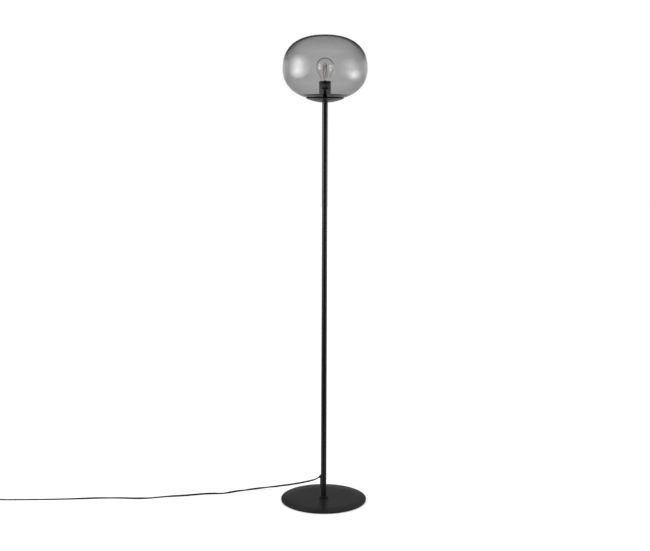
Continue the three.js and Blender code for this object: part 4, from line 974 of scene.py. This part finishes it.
# %% Turn the lampholder's upper part
SLEEVE_BORE = 14.6
SLEEVE_REACH = 16.8
RIM_HEIGHT = 6.7
RIM_COLUMNS = 144
GRIP_DEPTH = 0.5
sleeve_low, rim_high = low("lampholder_upper"), high("lampholder_upper")
rim_low = rim_high - RIM_HEIGHT
sleeve = turn("lampholder_rim", [
    (SLEEVE_BORE, sleeve_low), (SLEEVE_REACH, sleeve_low), (SLEEVE_REACH, rim_low), (cup_radius - 0.2, rim_low),
    (cup_radius, rim_low + 0.2), (cup_radius, rim_low + 1.0), (cup_radius, rim_high - 2.0),
    *arc(cup_radius - 1.0, rim_high - 1.0, 1.0, 0, 90, 4), (14.9, rim_high), (SLEEVE_BORE, rim_high - 0.3),
], steps=RIM_COLUMNS)
for vertex in sleeve.data.vertices:
    place = vertex.co
    column = round(math.atan2(place.y, place.x) / (2 * math.pi) * RIM_COLUMNS) % 3
    in_band = rim_low + 0.9 < place.z / MM < rim_high - 1.9 and math.hypot(place.x, place.y) > 0.018
    if in_band and column == 0:
        place.x *= 1 - GRIP_DEPTH / cup_radius
        place.y *= 1 - GRIP_DEPTH / cup_radius
dress(sleeve, "lamp", holder_plastic, "black_moulding", "lampholder_upper", angle=30.0)


# %% [markdown]
# ## The glass globe
#
# The globe is wider than it is high, with a flattened crown, like a drop of water at rest. Its half outline is a
# superellipse, squarer above its widest level than below. The outer wall is drawn from the crown down to the ground
# rim and the inner wall back up to the crown, so that one spin makes a closed shell with a real thickness. That
# thickness matters, because the light bends and is taken away inside it.

# %% Blow the globe
GLOBE_REACH = 133.5
GLOBE_RISE = 105.0
GLOBE_DROP = 96.8
GLOBE_WALL = 3.0
LIP_REACH = 76.0
LIP_HEIGHT = 4.0
UPPER_POWER = 2.37
LOWER_POWER = 2.2
globe_level = high("glass_shade") - GLOBE_RISE
rim_depth = globe_level - low("glass_shade")


def globe_outline(inset):
    """Half the globe's outline from its rim up to its crown, with its wall set in."""
    reach, rise, fall_to = GLOBE_REACH - inset, GLOBE_RISE - inset, GLOBE_DROP - inset
    rim_angle = math.asin((rim_depth / fall_to) ** (LOWER_POWER / 2))
    points = []
    for i in range(28):
        angle = rim_angle * (1 - i / 28)
        points.append((reach * math.cos(angle) ** (2 / LOWER_POWER),
                       globe_level - fall_to * math.sin(angle) ** (2 / LOWER_POWER)))
    for i in range(41):
        angle = math.pi / 2 * i / 40
        points.append((reach * max(math.cos(angle), 0.0) ** (2 / UPPER_POWER),
                       globe_level + rise * math.sin(angle) ** (2 / UPPER_POWER)))
    points[-1] = (0.0, globe_level + rise)
    return points


def thick_lip(inner):
    """Thickens the inner wall from a radius inwards to the opening, with a rounded corner there."""
    opening, rim = inner[0]
    wall = [point for point in inner if point[0] > LIP_REACH or point[1] > globe_level]
    high_side = rim + LIP_HEIGHT
    slope = []
    for i in range(13):
        share = i / 13
        slope.append((opening + 1.2 + (wall[0][0] - opening - 1.2) * share,
                      high_side + (wall[0][1] - high_side) * share * (0.5 + share / 2)))
    corner = [(opening, rim + 0.6), (opening, high_side - 1.2), (opening + 0.35, high_side - 0.35)]
    return [(opening + 0.6, rim), *corner, *slope, *wall]


outer_wall = globe_outline(0.0)
inner_wall = thick_lip(globe_outline(GLOBE_WALL))
globe = turn("smoked_globe", [*reversed(outer_wall), *inner_wall], steps=160)
dress(globe, "shade", smoked_glass, "smoked_glass", "glass_shade", angle=50.0)


# %% [markdown]
# ## The bulb
#
# The bulb is a clear one with four coated filament rods. Its glass swells from a narrow neck to a ball. A sphere
# joined to a cone would leave a crease at the neck, so one smooth curve is led through a few points of the real
# outline, and turned with a thin wall. The whole bulb turns when it is unscrewed.

# %% Blow the bulb
neck_low, bulb_high = low("bulb_glass"), high("bulb_glass")
bell = 28.0
neck = 12.3
bulb_wall = 0.8
shares = [(0, 0), (0.16, 0.03), (0.3, 0.16), (0.46, 0.4), (0.62, 0.68), (0.8, 0.91), (1, 1)]
bell_level = bulb_high - bell


def bulb_outline(inset):
    """Half the bulb's outline from the neck up to its top."""
    side = [((neck + (bell - neck) * r - inset), 0.0, neck_low + (bell_level - neck_low) * h) for h, r in shares]
    curve = smooth_route(side, 2.0)
    curve = [(point.x, point.z) for point in curve]
    return curve + arc(0, bell_level, bell - inset, 6, 84, 13) + [(0.0, bulb_high - inset)]


bulb = turn("bulb_envelope", [*reversed(bulb_outline(0.0)), *bulb_outline(bulb_wall)], steps=72)
dress(bulb, "bulb", clear_glass, "clear_glass", "bulb_glass", angle=50.0)

# %% [markdown]
# ## The stem
#
# Inside the bulb a glass tube is flared where it is melted to the neck, pinched above that, and drawn out to a thin
# rod that carries the filaments' upper ends. It is turned in one piece.

# %% Model the stem
pinch = neck_low + 19.0
stem_high = high("bulb_stem")
stem = turn("bulb_stem_glass", [
    (0, neck_low), (10.6, neck_low), (11.2, neck_low + 0.3), (11.0, neck_low + 0.8), (7.0, neck_low + 2.6),
    (4.6, neck_low + 5.2), (3.8, neck_low + 8.0), (3.3, pinch - 4.0), (3.0, pinch - 0.6), (2.4, pinch),
    (1.3, pinch + 0.2), (1.2, pinch + 1.5), (1.2, stem_high - 1.0), (0.7, stem_high - 0.2), (0, stem_high),
], steps=40)
dress(stem, "bulb", stem_glass, "clear_glass", "bulb_stem", angle=50.0)

# %% [markdown]
# ## The filaments
#
# The four filaments are straight rods that lean inwards at the top, with a short bare end of wire at each end of the
# coat. Each is turned upright, leaned, and then turned to its own side of the bulb.

# %% Turn the four filaments
filament_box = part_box("filament_1")
foot_reach, head_reach = 6.6, 3.8
filament_low, filament_high = filament_box[0].z / MM + 0.1, filament_box[1].z / MM - 0.1
span = filament_high - filament_low
lean = math.atan2(foot_reach - head_reach, span)
rod_length = math.hypot(span, foot_reach - head_reach)
for number in (1, 2, 3, 4):
    rod = turn(f"filament_rod_{number}", [
        (0, 0), (0.45, 0), (0.45, 1.4), *arc(0.35, 2.1, 0.7, -70, 0, 3),
        *arc(0.35, rod_length - 2.1, 0.7, 0, 70, 3), (0.45, rod_length - 1.4), (0.45, rod_length), (0, rod_length),
    ], steps=20)
    stand = Matrix.Translation((foot_reach * MM, 0, filament_low * MM)) @ Matrix.Rotation(-lean, 4, "Y")
    place_at(rod, Matrix.Rotation(math.pi / 2 * (number - 1), 4, "Z") @ stand)
    dress(rod, "bulb", coating, "filament_coating", f"filament_{number}")

# %% [markdown]
# ## The star
#
# A small cross of wire under a domed cap holds the filaments' upper ends. Two thin cylinders are joined to a turned
# cap. The lower cross hardly shows and keeps its solid.

# %% Press the little star
star_low = low("filament_star_upper")
star_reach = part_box("filament_star_upper")[1].x / MM
star = turn("filament_star_cap", [
    (0, star_low), (2.6, star_low), (2.6, star_low + 0.3), *arc(0, star_low + 0.3, 2.6, 12, 78, 6),
    (0, star_low + 2.9),
], steps=40)
for angle in (0.0, math.pi / 2):
    wire = cylinder(0.4 * MM, 2 * star_reach * MM, (0, 0, (star_low + 0.4) * MM), (0, math.pi / 2, angle), sides=16)
    cut_with(star, wire, "UNION")
dress(star, "bulb", metals["nickel_plating"], "nickel", "filament_star_upper")


# %% [markdown]
# ## The foot switch
#
# An in-line foot switch is two shells screwed together, with a round button on top and a tapered gland at each end
# where the lead goes in. A cube with rounded corners gives the outer form, and a smaller one is taken out of it, so
# that it is hollow as the real one is. Each half is what remains of that shell between two heights. A solidify
# modifier on an open half would be shorter, but it leaves a ragged rim where the corners are round.

# %% Shape a rounded block
def rounded_block(size, corner, edge):
    """A block over the middle of the switch with round corners and softened edges, in millimetres."""
    piece = block([length * MM for length in size], SWITCH_PLACE + Vector((0, 0, SWITCH_HEIGHT / 2 * MM)))
    round_box(piece, corner * MM, 12, only_upright=True)
    soften(piece, edge, segments=4, angle=60.0)
    return piece


def hollow_half(name, low_side, high_side):
    """The part of the switch's shell between two heights, with a 2 mm wall."""
    half = rounded_block((SWITCH_LENGTH, 34, SWITCH_HEIGHT), 15, 2.2)
    half.name = half.data.name = name
    cut_with(half, rounded_block((SWITCH_LENGTH - 4, 30, SWITCH_HEIGHT - 4), 13, 1.2))
    between = SWITCH_PLACE + Vector((0, 0, (low_side + high_side) / 2 * MM))
    cut_with(half, block((0.08, 0.05, (high_side - low_side) * MM), between), "INTERSECT")
    return half


# %% [markdown]
# ## The tray and its glands
#
# The lower half of the switch is a tray. At each end it has a tapered gland with grooves, which bends with the lead
# and keeps it from breaking. The gland is turned and laid along the lead. Two stepped holes take the screws.

# %% Shape the glands and join them to the tray
def gland(side, play=0.0):
    """A tapered, grooved gland that points along X to one side of the switch."""
    start = SWITCH_LENGTH / 2 - 2.0 - play
    end = SWITCH_LENGTH / 2 + GLAND_LENGTH
    profile = [(0, start), (6.0 + play, start)]
    for i in range(1, 6):
        at = SWITCH_LENGTH / 2 + i * GLAND_LENGTH / 6.2
        radius = 6.0 + (3.9 - 6.0) * (at - start) / (end - start) + play
        profile += [(radius, at - 0.7), (radius - 0.6 * (play == 0), at - 0.35),
                    (radius - 0.6 * (play == 0), at + 0.35), (radius - 0.05, at + 0.7)]
    profile += [(3.9 + play, end), (2.95, end), (2.95, end - 3.0), (0, end - 3.0)]
    cone = turn("gland", profile, steps=40)
    place_at(cone, Matrix.Translation(SWITCH_PLACE + Vector((0, 0, GLAND_HEIGHT * MM))) @ Matrix.Rotation(
        side * math.pi / 2, 4, "Y"))
    return cone


tray = hollow_half("switch_tray", -1.0, 9.0)
for side in (1, -1):
    cut_with(tray, gland(side), "UNION")
for number in (1, 2):
    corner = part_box(f"switch_screw_{number}")
    middle = (corner[0] + corner[1]) / 2
    for radius, depth in ((2.9, 2.2), (1.55, 8.0)):
        cut_with(tray, cylinder(radius * MM, depth * MM, (middle.x, middle.y, (0.4 + depth / 2) * MM)))
dress(tray, "lamp", moulding, "black_moulding", "switch_base", angle=35.0)

# %% [markdown]
# ## The cover
#
# The upper half has a round hole for the button, and a notch for each gland. The notches are cut with slightly larger
# glands, so that there is a fine gap round the real ones.

# %% Shape the cover round the button and the glands
BUTTON_HOLE = 0.0114
lid = hollow_half("switch_lid", 9.3, 21.0)
cut_with(lid, cylinder(BUTTON_HOLE, 0.02, SWITCH_PLACE + Vector((0, 0, SWITCH_HEIGHT * MM)), sides=64))
for side in (1, -1):
    cut_with(lid, gland(side, 0.3))
dress(lid, "lamp", moulding, "black_moulding", "switch_cover", angle=35.0)

# %% [markdown]
# ## The button
#
# The button is a turned cap with a flange that stops it under the cover and a dished top for the foot.

# %% Turn the button
button_low, button_high = low("switch_button"), high("switch_button")
flange_high = 17.7
button = turn("foot_button_cap", [
    (0, button_low), (2.2, button_low), (2.2, flange_high - 1.5), (12.6, flange_high - 1.5),
    (12.6, flange_high), (11.0, flange_high), (11.0, button_high - 1.6),
    *arc(9.4, button_high - 1.6, 1.6, 0, 90, 5), (7.8, button_high - 0.25), (4.0, button_high - 0.55),
    (0, button_high - 0.65),
], steps=64)
button.location = SWITCH_PLACE
settle(button)
dress(button, "foot_button", moulding, "black_moulding", "switch_button", angle=35.0)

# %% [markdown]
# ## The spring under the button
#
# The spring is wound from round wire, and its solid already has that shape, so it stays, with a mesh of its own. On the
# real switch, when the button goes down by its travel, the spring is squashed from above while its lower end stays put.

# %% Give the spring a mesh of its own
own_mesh(bpy.data.objects["switch_spring"])

# %% [markdown]
# ## The switch's screws
#
# Two screws hold the halves together. They go in from below, so each is turned over and set into its stepped hole.

# %% Put the switch's screws in from below
for number in (1, 2):
    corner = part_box(f"switch_screw_{number}")
    middle = (corner[0] + corner[1]) / 2
    screw = cross_screw(f"tray_screw_{number}", 2.6, 1.8, 1.3, 15.0)
    place_at(screw, Matrix.Translation((middle.x, middle.y, corner[0].z)) @ Matrix.Rotation(math.pi, 4, "X"))
    dress(screw, "lamp", metals["zinc_plated_steel"], "steel", f"switch_screw_{number}")


# %% [markdown]
# ## The plug
#
# The flat plug has a body that narrows from its shoulders to the cord, with softened edges and a ribbed, tapered
# sleeve that keeps the lead from breaking. Its outline is drawn from one vertex, filled, and raised.

# %% Model the plug
half_width, neck_half = 17.65, 7.0
plug_outline = [
    (-half_width, 0.0), (half_width, 0.0), (half_width, 20.0), (14.6, 25.4), (neck_half, 36.0),
    (-neck_half, 36.0), (-14.6, 25.4), (-half_width, 20.0), (-half_width, 0.0),
]
plug_place = Vector((plug_x, PLUG_FRONT * MM, 0))
plug_body = draw_chain("flat_plug", [plug_place + Vector((x * MM, y * MM, 0)) for x, y in plug_outline])
bpy.ops.mesh.select_all(action="SELECT")
bpy.ops.mesh.remove_doubles(threshold=1e-6)
bpy.ops.mesh.edge_face_add()
bpy.ops.mesh.extrude_region_move(TRANSFORM_OT_translate={"value": (0, 0, PLUG_THICKNESS * MM)})
bpy.ops.mesh.select_all(action="SELECT")
bpy.ops.mesh.normals_make_consistent(inside=False)
bpy.ops.object.mode_set(mode="OBJECT")
soften(plug_body, 2.0, segments=4, angle=20.0)
sleeve_profile = [(0, 34.0), (5.4, 34.0), (5.4, 37.0)]
for i in range(1, 6):
    at = 36.0 + i * 3.1
    radius = 5.4 + (3.9 - 5.4) * (at - 36.0) / 20.0
    sleeve_profile += [(radius, at - 0.9), (radius - 0.6, at - 0.45), (radius - 0.6, at + 0.45),
                       (radius - 0.06, at + 0.9)]
sleeve_profile += [(3.9, 56.0), (2.95, 56.0), (2.95, 53.0), (0, 53.0)]
relief_sleeve = turn("relief", sleeve_profile, steps=40)
plug_middle = plug_place + Vector((0, 0, PLUG_THICKNESS / 2 * MM))
place_at(relief_sleeve, Matrix.Translation(plug_middle) @ Matrix.Rotation(-math.pi / 2, 4, "X"))
cut_with(plug_body, relief_sleeve, "UNION")
dress(plug_body, "lamp", moulding, "black_moulding", "plug_body", angle=35.0)

# %% [markdown]
# ## The plug's pins
#
# The two pins are round, with rounded tips that find the socket's holes. Each is turned upright and laid forwards.

# %% Turn the pins
PIN_SPACING = 18.6
for number, side in ((1, 1), (2, -1)):
    pin = turn(f"round_pin_{number}", [
        (0, 0.3), (2.0, 0.3), (2.0, 17.6), *arc(0.9, 17.9, 1.1, 0, 80, 4), (0, 19.0),
    ], steps=32)
    beside = Vector((side * PIN_SPACING / 2 * MM, 0, 0))
    place_at(pin, Matrix.Translation(plug_middle + beside) @ Matrix.Rotation(math.pi / 2, 4, "X"))
    dress(pin, "lamp", metals["nickel_plating"], "nickel", f"plug_pin_{number}")


# %% [markdown]
# ## The tie round the coil
#
# A flat rubber band holds the coil. Its path is a rectangle with round corners. The path is extruded to the band's
# width, and then given its thickness.

# %% Bend the tie round the coil
TIE_THICKNESS = 0.8
tie_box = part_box("coil_tie")
tie_centre = (tie_box[0] + tie_box[1]) / 2
tie_half = (tie_box[1] - tie_box[0]) / 2 / MM
corner_radius = 3.6
ring = []
for corner_x, corner_y, start in ((1, 1, 0), (-1, 1, 90), (-1, -1, 180), (1, -1, 270)):
    middle_x, middle_y = corner_x * (tie_half.y - corner_radius), corner_y * (tie_half.z - corner_radius)
    ring += arc(middle_x, middle_y, corner_radius, start, start + 90, 6)
ring.append(ring[0])
tie = draw_chain("coil_band", [tie_centre + Vector((-tie_half.x, y, z)) * MM for y, z in ring])
bpy.ops.mesh.select_all(action="SELECT")
bpy.ops.mesh.remove_doubles(threshold=1e-6)
bpy.ops.mesh.extrude_region_move(TRANSFORM_OT_translate={"value": (2 * tie_half.x * MM, 0, 0)})
bpy.ops.mesh.select_all(action="SELECT")
bpy.ops.mesh.normals_make_consistent(inside=False)
bpy.ops.object.mode_set(mode="OBJECT")
band = tie.modifiers.new("thickness", "SOLIDIFY")
band.thickness = TIE_THICKNESS * MM
band.offset = -1
band.use_even_offset = True
apply_all(tie)
dress(tie, "lamp", rubber, "black_rubber", "coil_tie", angle=35.0)


# %% [markdown]
# ## The lengths of the leads
#
# The first stretch ends in the foot switch, and the second leaves the switch and ends in the plug.

print("leads:", round(lead_one_length, 3), "m to the switch and", round(lead_two_length, 3), "m to the plug")


# %% [markdown]
# ## Looks through glass
#
# The ground of the picture is white, and it has to stay white where it is seen straight through the globe. A ray that
# only went through glass on its way from the camera is such a look, and one that was thrown back by gloss or by a
# matt face isn't. Light Path counts both kinds, so the floor, the surroundings and the lamps can tell them apart.

# %% Tell the straight looks through glass
def look_through(tree, rays):
    """A socket that is 1 for rays that only passed through glass on their way from the camera, and else 0."""
    bounced = add_node(tree, "ShaderNodeMath", None,
                       {0: rays.outputs["Glossy Depth"], 1: rays.outputs["Diffuse Depth"]}, operation="ADD")
    free = add_node(tree, "ShaderNodeMath", {1: 0.5}, {0: bounced.outputs[0]}, operation="LESS_THAN")
    passed = add_node(tree, "ShaderNodeMath", {1: 0.5}, {0: rays.outputs["Transmission Depth"]},
                      operation="GREATER_THAN")
    through = add_node(tree, "ShaderNodeMath", None, {0: free.outputs[0], 1: passed.outputs[0]}, operation="MULTIPLY")
    return through.outputs[0]


# %% [markdown]
# ## The floor
#
# The floor is a wide sheet of matt white paper that takes the lamp's soft shadow. A glow of its own, which only direct
# looks and looks by way of gloss or glass can see, grows with the distance from the lamp, so that the sheet meets the
# white surroundings without a line. The black paint mirrors the floor too. The photograph's pole and dish stay dark
# there, so painted shade stands in for a dark room: for reflections and bounced light the floor's colour is only half
# bright, and dark grey in front of the lamp.

# %% Lay the floor
start_clean()
bpy.ops.mesh.primitive_plane_add(size=30)
floor = bpy.context.object
floor.name = floor.data.name = "studio_floor"
floor_paper = bpy.data.materials.new("white_studio_paper")
tree = empty_tree(floor_paper)
rays = add_node(tree, "ShaderNodeLightPath")
seen = add_node(tree, "ShaderNodeMath", None,
                {0: rays.outputs["Is Camera Ray"], 1: rays.outputs["Is Glossy Ray"]}, operation="MAXIMUM")
shown = add_node(tree, "ShaderNodeMath", None,
                 {0: seen.outputs[0], 1: rays.outputs["Is Transmission Ray"]}, operation="MAXIMUM")
coords = add_node(tree, "ShaderNodeTexCoord")
distance = add_node(tree, "ShaderNodeVectorMath", None, {0: coords.outputs["Object"]}, operation="LENGTH")
far = add_node(tree, "ShaderNodeMapRange", {"From Min": 0.5, "From Max": 2.8, "To Min": 0.42, "To Max": 0.75},
               {"Value": distance.outputs["Value"]}, interpolation_type="SMOOTHSTEP")
lift = add_node(tree, "ShaderNodeMath", None, {0: shown.outputs[0], 1: far.outputs["Result"]}, operation="MULTIPLY")
ways = add_node(tree, "ShaderNodeSeparateXYZ", None, {"Vector": coords.outputs["Object"]})
# Painted shade: for reflections and bounced light the floor's colour darkens to #303030 in front of the lamp and is
# only half bright behind it, standing in for a dark room.
painted_room_shade = add_node(tree, "ShaderNodeMapRange", {"From Min": -0.72, "From Max": -0.44, "To Min": 0.0, "To Max": 0.5},
                 {"Value": ways.outputs["Y"]}, interpolation_type="SMOOTHSTEP")
direct = add_node(tree, "ShaderNodeMath", None,
                  {0: rays.outputs["Is Camera Ray"], 1: look_through(tree, rays)}, operation="MAXIMUM")
# Full brightness for direct looks and looks through glass, and the painted shade above for every other ray.
sheet = add_node(tree, "ShaderNodeMath", None, {0: painted_room_shade.outputs["Result"], 1: direct.outputs[0]},
                 operation="MAXIMUM")
tone = add_node(tree, "ShaderNodeValToRGB", None, {"Fac": sheet.outputs[0]})
# The dark stop is painted shade, which only reflections and bounced light see.
set_ramp(tone, [(0.0, "#303030"), (1.0, "#f2f2f2")])
matt = add_node(tree, "ShaderNodeBsdfDiffuse", None, {"Color": tone.outputs["Color"]})
glow = add_node(tree, "ShaderNodeEmission", None, {"Color": tone.outputs["Color"], "Strength": lift.outputs[0]})
both = add_node(tree, "ShaderNodeAddShader", None, {0: matt.outputs[0], 1: glow.outputs[0]})
add_node(tree, "ShaderNodeOutputMaterial", None, {"Surface": both.outputs[0]})
floor.data.materials.append(floor_paper)
print("the floor's glow grows from", round(far.inputs["To Min"].default_value, 2), "to",
      round(far.inputs["To Max"].default_value, 2))

# %% [markdown]
# ## The surroundings
#
# The photograph was taken in a dark room in front of a low white backdrop: the middle of the pole and the glass's
# upper edge mirror darkness, and only their sides mirror white. A ring of backdrops could be modelled, but the world
# can tell the same from a ray's direction. It is white for direct looks. Gloss sees it white behind the lamp up to
# some ten degrees above the horizon, then a dark belt, and then a pale ceiling, and dim in front. A straight look
# through glass sees the white low part on every side. Matt faces get an even light that is strongest from above.

# %% Set the surroundings
AMBIENT = 0.95  # the even light on matt faces from straight above, which fades to almost nothing from below
DIM = 0.06  # what gloss sees of the dark room
CEILING = 0.8  # and of its pale ceiling
world = bpy.data.worlds.new("studio_room")
bpy.context.scene.world = world
tree = empty_tree(world)
rays = add_node(tree, "ShaderNodeLightPath")
coords = add_node(tree, "ShaderNodeTexCoord")
ways = add_node(tree, "ShaderNodeSeparateXYZ", None, {"Vector": coords.outputs["Generated"]})
lower = add_node(tree, "ShaderNodeMapRange", {"From Min": 0.08, "From Max": 0.27, "To Min": 1.0, "To Max": 0.0},
                 {"Value": ways.outputs["Z"]}, interpolation_type="SMOOTHSTEP")
behind = add_node(tree, "ShaderNodeMapRange", {"From Min": 0.1, "From Max": 0.85, "To Min": 0.0, "To Max": 1.0},
                  {"Value": ways.outputs["Y"]}, interpolation_type="SMOOTHSTEP")
around = add_node(tree, "ShaderNodeMath", None, {0: behind.outputs["Result"], 1: look_through(tree, rays)},
                  operation="MAXIMUM")
backdrop = add_node(tree, "ShaderNodeMath", None, {0: lower.outputs["Result"], 1: around.outputs[0]},
                    operation="MULTIPLY")
ceiling = add_node(tree, "ShaderNodeMapRange", {"From Min": 0.48, "From Max": 0.8, "To Min": 0.0, "To Max": CEILING},
                   {"Value": ways.outputs["Z"]}, interpolation_type="SMOOTHSTEP")
pale = add_node(tree, "ShaderNodeMath", None, {0: backdrop.outputs[0], 1: ceiling.outputs["Result"]}, operation="ADD")
room = add_node(tree, "ShaderNodeMapRange", {"To Min": DIM, "To Max": 1.0}, {"Value": pale.outputs[0]})
seen = add_node(tree, "ShaderNodeMath", None,
                {0: rays.outputs["Is Glossy Ray"], 1: rays.outputs["Is Transmission Ray"]}, operation="MAXIMUM")
even = add_node(tree, "ShaderNodeMapRange", {"From Min": -0.1, "From Max": 1.0, "To Min": 0.05, "To Max": AMBIENT},
                {"Value": ways.outputs["Z"]})
level = add_node(tree, "ShaderNodeMix", None,
                 {"Factor": seen.outputs[0], "A": even.outputs["Result"], "B": room.outputs["Result"]})
strength = add_node(tree, "ShaderNodeMix", {"B": 1.0}, {"Factor": rays.outputs["Is Camera Ray"], "A": level.outputs[0]})
light = add_node(tree, "ShaderNodeBackground", {"Color": (1.0, 1.0, 1.0, 1.0)}, {"Strength": strength.outputs[0]})
add_node(tree, "ShaderNodeOutputWorld", None, {"Surface": light.outputs["Background"]})
print("even light from above:", AMBIENT)


# %% [markdown]
# ## Lamps
#
# Two large soft lights stand left and right of the lamp, and draw the two soft glows on the glass. Their size, height
# and angle were read from those glows: the left one is large, a little in front, and brightest near the height of the
# dish, and the right one is smaller and lower. A large diffuser is brightest in one place and fades towards its edges,
# so each face has a gradient. Both are flagged, as with a board under them, so that the base and the floor get less of
# their light than the head does. In a straight look through the glass they are as white as the backdrop.

# %% Set up the two soft lights
FADE_POWER = 2.2  # how fast a light's face darkens towards its edge
FLAG_TOP = 0.9  # the height from which nothing is held back
FLAG_LEAST = 0.3  # the share of the light that reaches the floor


def soft_light(name, place, width, height, radiance, brightest):
    """A large oval lamp that faces the pole and fades from its brightest height, as a share of its own height."""
    data = bpy.data.lights.new(name, "AREA")
    data.shape = "ELLIPSE"
    data.size, data.size_y = width, height
    area = math.pi / 4 * width * height
    data.energy = radiance * area * math.pi
    tree = empty_tree(data)
    face = add_node(tree, "ShaderNodeNewGeometry")
    away = add_node(tree, "ShaderNodeVectorMath", {1: (0.5, brightest, 0.0)}, {0: face.outputs["Parametric"]},
                    operation="DISTANCE")
    inwards = add_node(tree, "ShaderNodeMapRange",
                       {"From Min": 1.0 - brightest, "From Max": 0.0, "To Min": 0.0, "To Max": 1.0},
                       {"Value": away.outputs["Value"]})
    fade = add_node(tree, "ShaderNodeMath", {1: FADE_POWER}, {0: inwards.outputs["Result"]}, operation="POWER")
    rays = add_node(tree, "ShaderNodeLightPath")
    way = add_node(tree, "ShaderNodeVectorMath", None,
                   {0: face.outputs["Incoming"], "Scale": rays.outputs["Ray Length"]}, operation="SCALE")
    lit = add_node(tree, "ShaderNodeVectorMath", None, {0: face.outputs["Position"], 1: way.outputs[0]},
                   operation="ADD")
    ways = add_node(tree, "ShaderNodeSeparateXYZ", None, {"Vector": lit.outputs[0]})
    flag = add_node(tree, "ShaderNodeMapRange",
                    {"From Min": 0.0, "From Max": FLAG_TOP, "To Min": FLAG_LEAST, "To Max": 1.0},
                    {"Value": ways.outputs["Z"]})
    shaded = add_node(tree, "ShaderNodeMath", None, {0: fade.outputs[0], 1: flag.outputs["Result"]},
                      operation="MULTIPLY")
    strength = add_node(tree, "ShaderNodeMix", {"B": 1.0 / radiance},
                        {"Factor": look_through(tree, rays), "A": shaded.outputs[0]})
    shine = add_node(tree, "ShaderNodeEmission", None, {"Strength": strength.outputs[0]})
    add_node(tree, "ShaderNodeOutputLight", None, {"Surface": shine.outputs["Emission"]})
    lamp = bpy.data.objects.new(name, data)
    lamp.location = place
    aim = Vector((0, 0, place[2])) - Vector(place)
    lamp.rotation_euler = aim.to_track_quat("-Z", "Y").to_euler()
    lamp.visible_camera = False
    bpy.context.scene.collection.objects.link(lamp)
    print(name, "has", round(data.energy), "W")
    return lamp


soft_light("soft_light_left", (-2.23, -0.56, 1.75), 3.5, 3.4, 11.0, 0.34)
soft_light("soft_light_right", (2.05, -0.145, 0.95), 2.8, 2.3, 9.4, 0.43)


# %% [markdown]
# ## The last settings
#
# The Standard view shows a colour as it is written.

# %% Set the view and close
bpy.context.scene.view_settings.view_transform = "Standard"
start_clean()
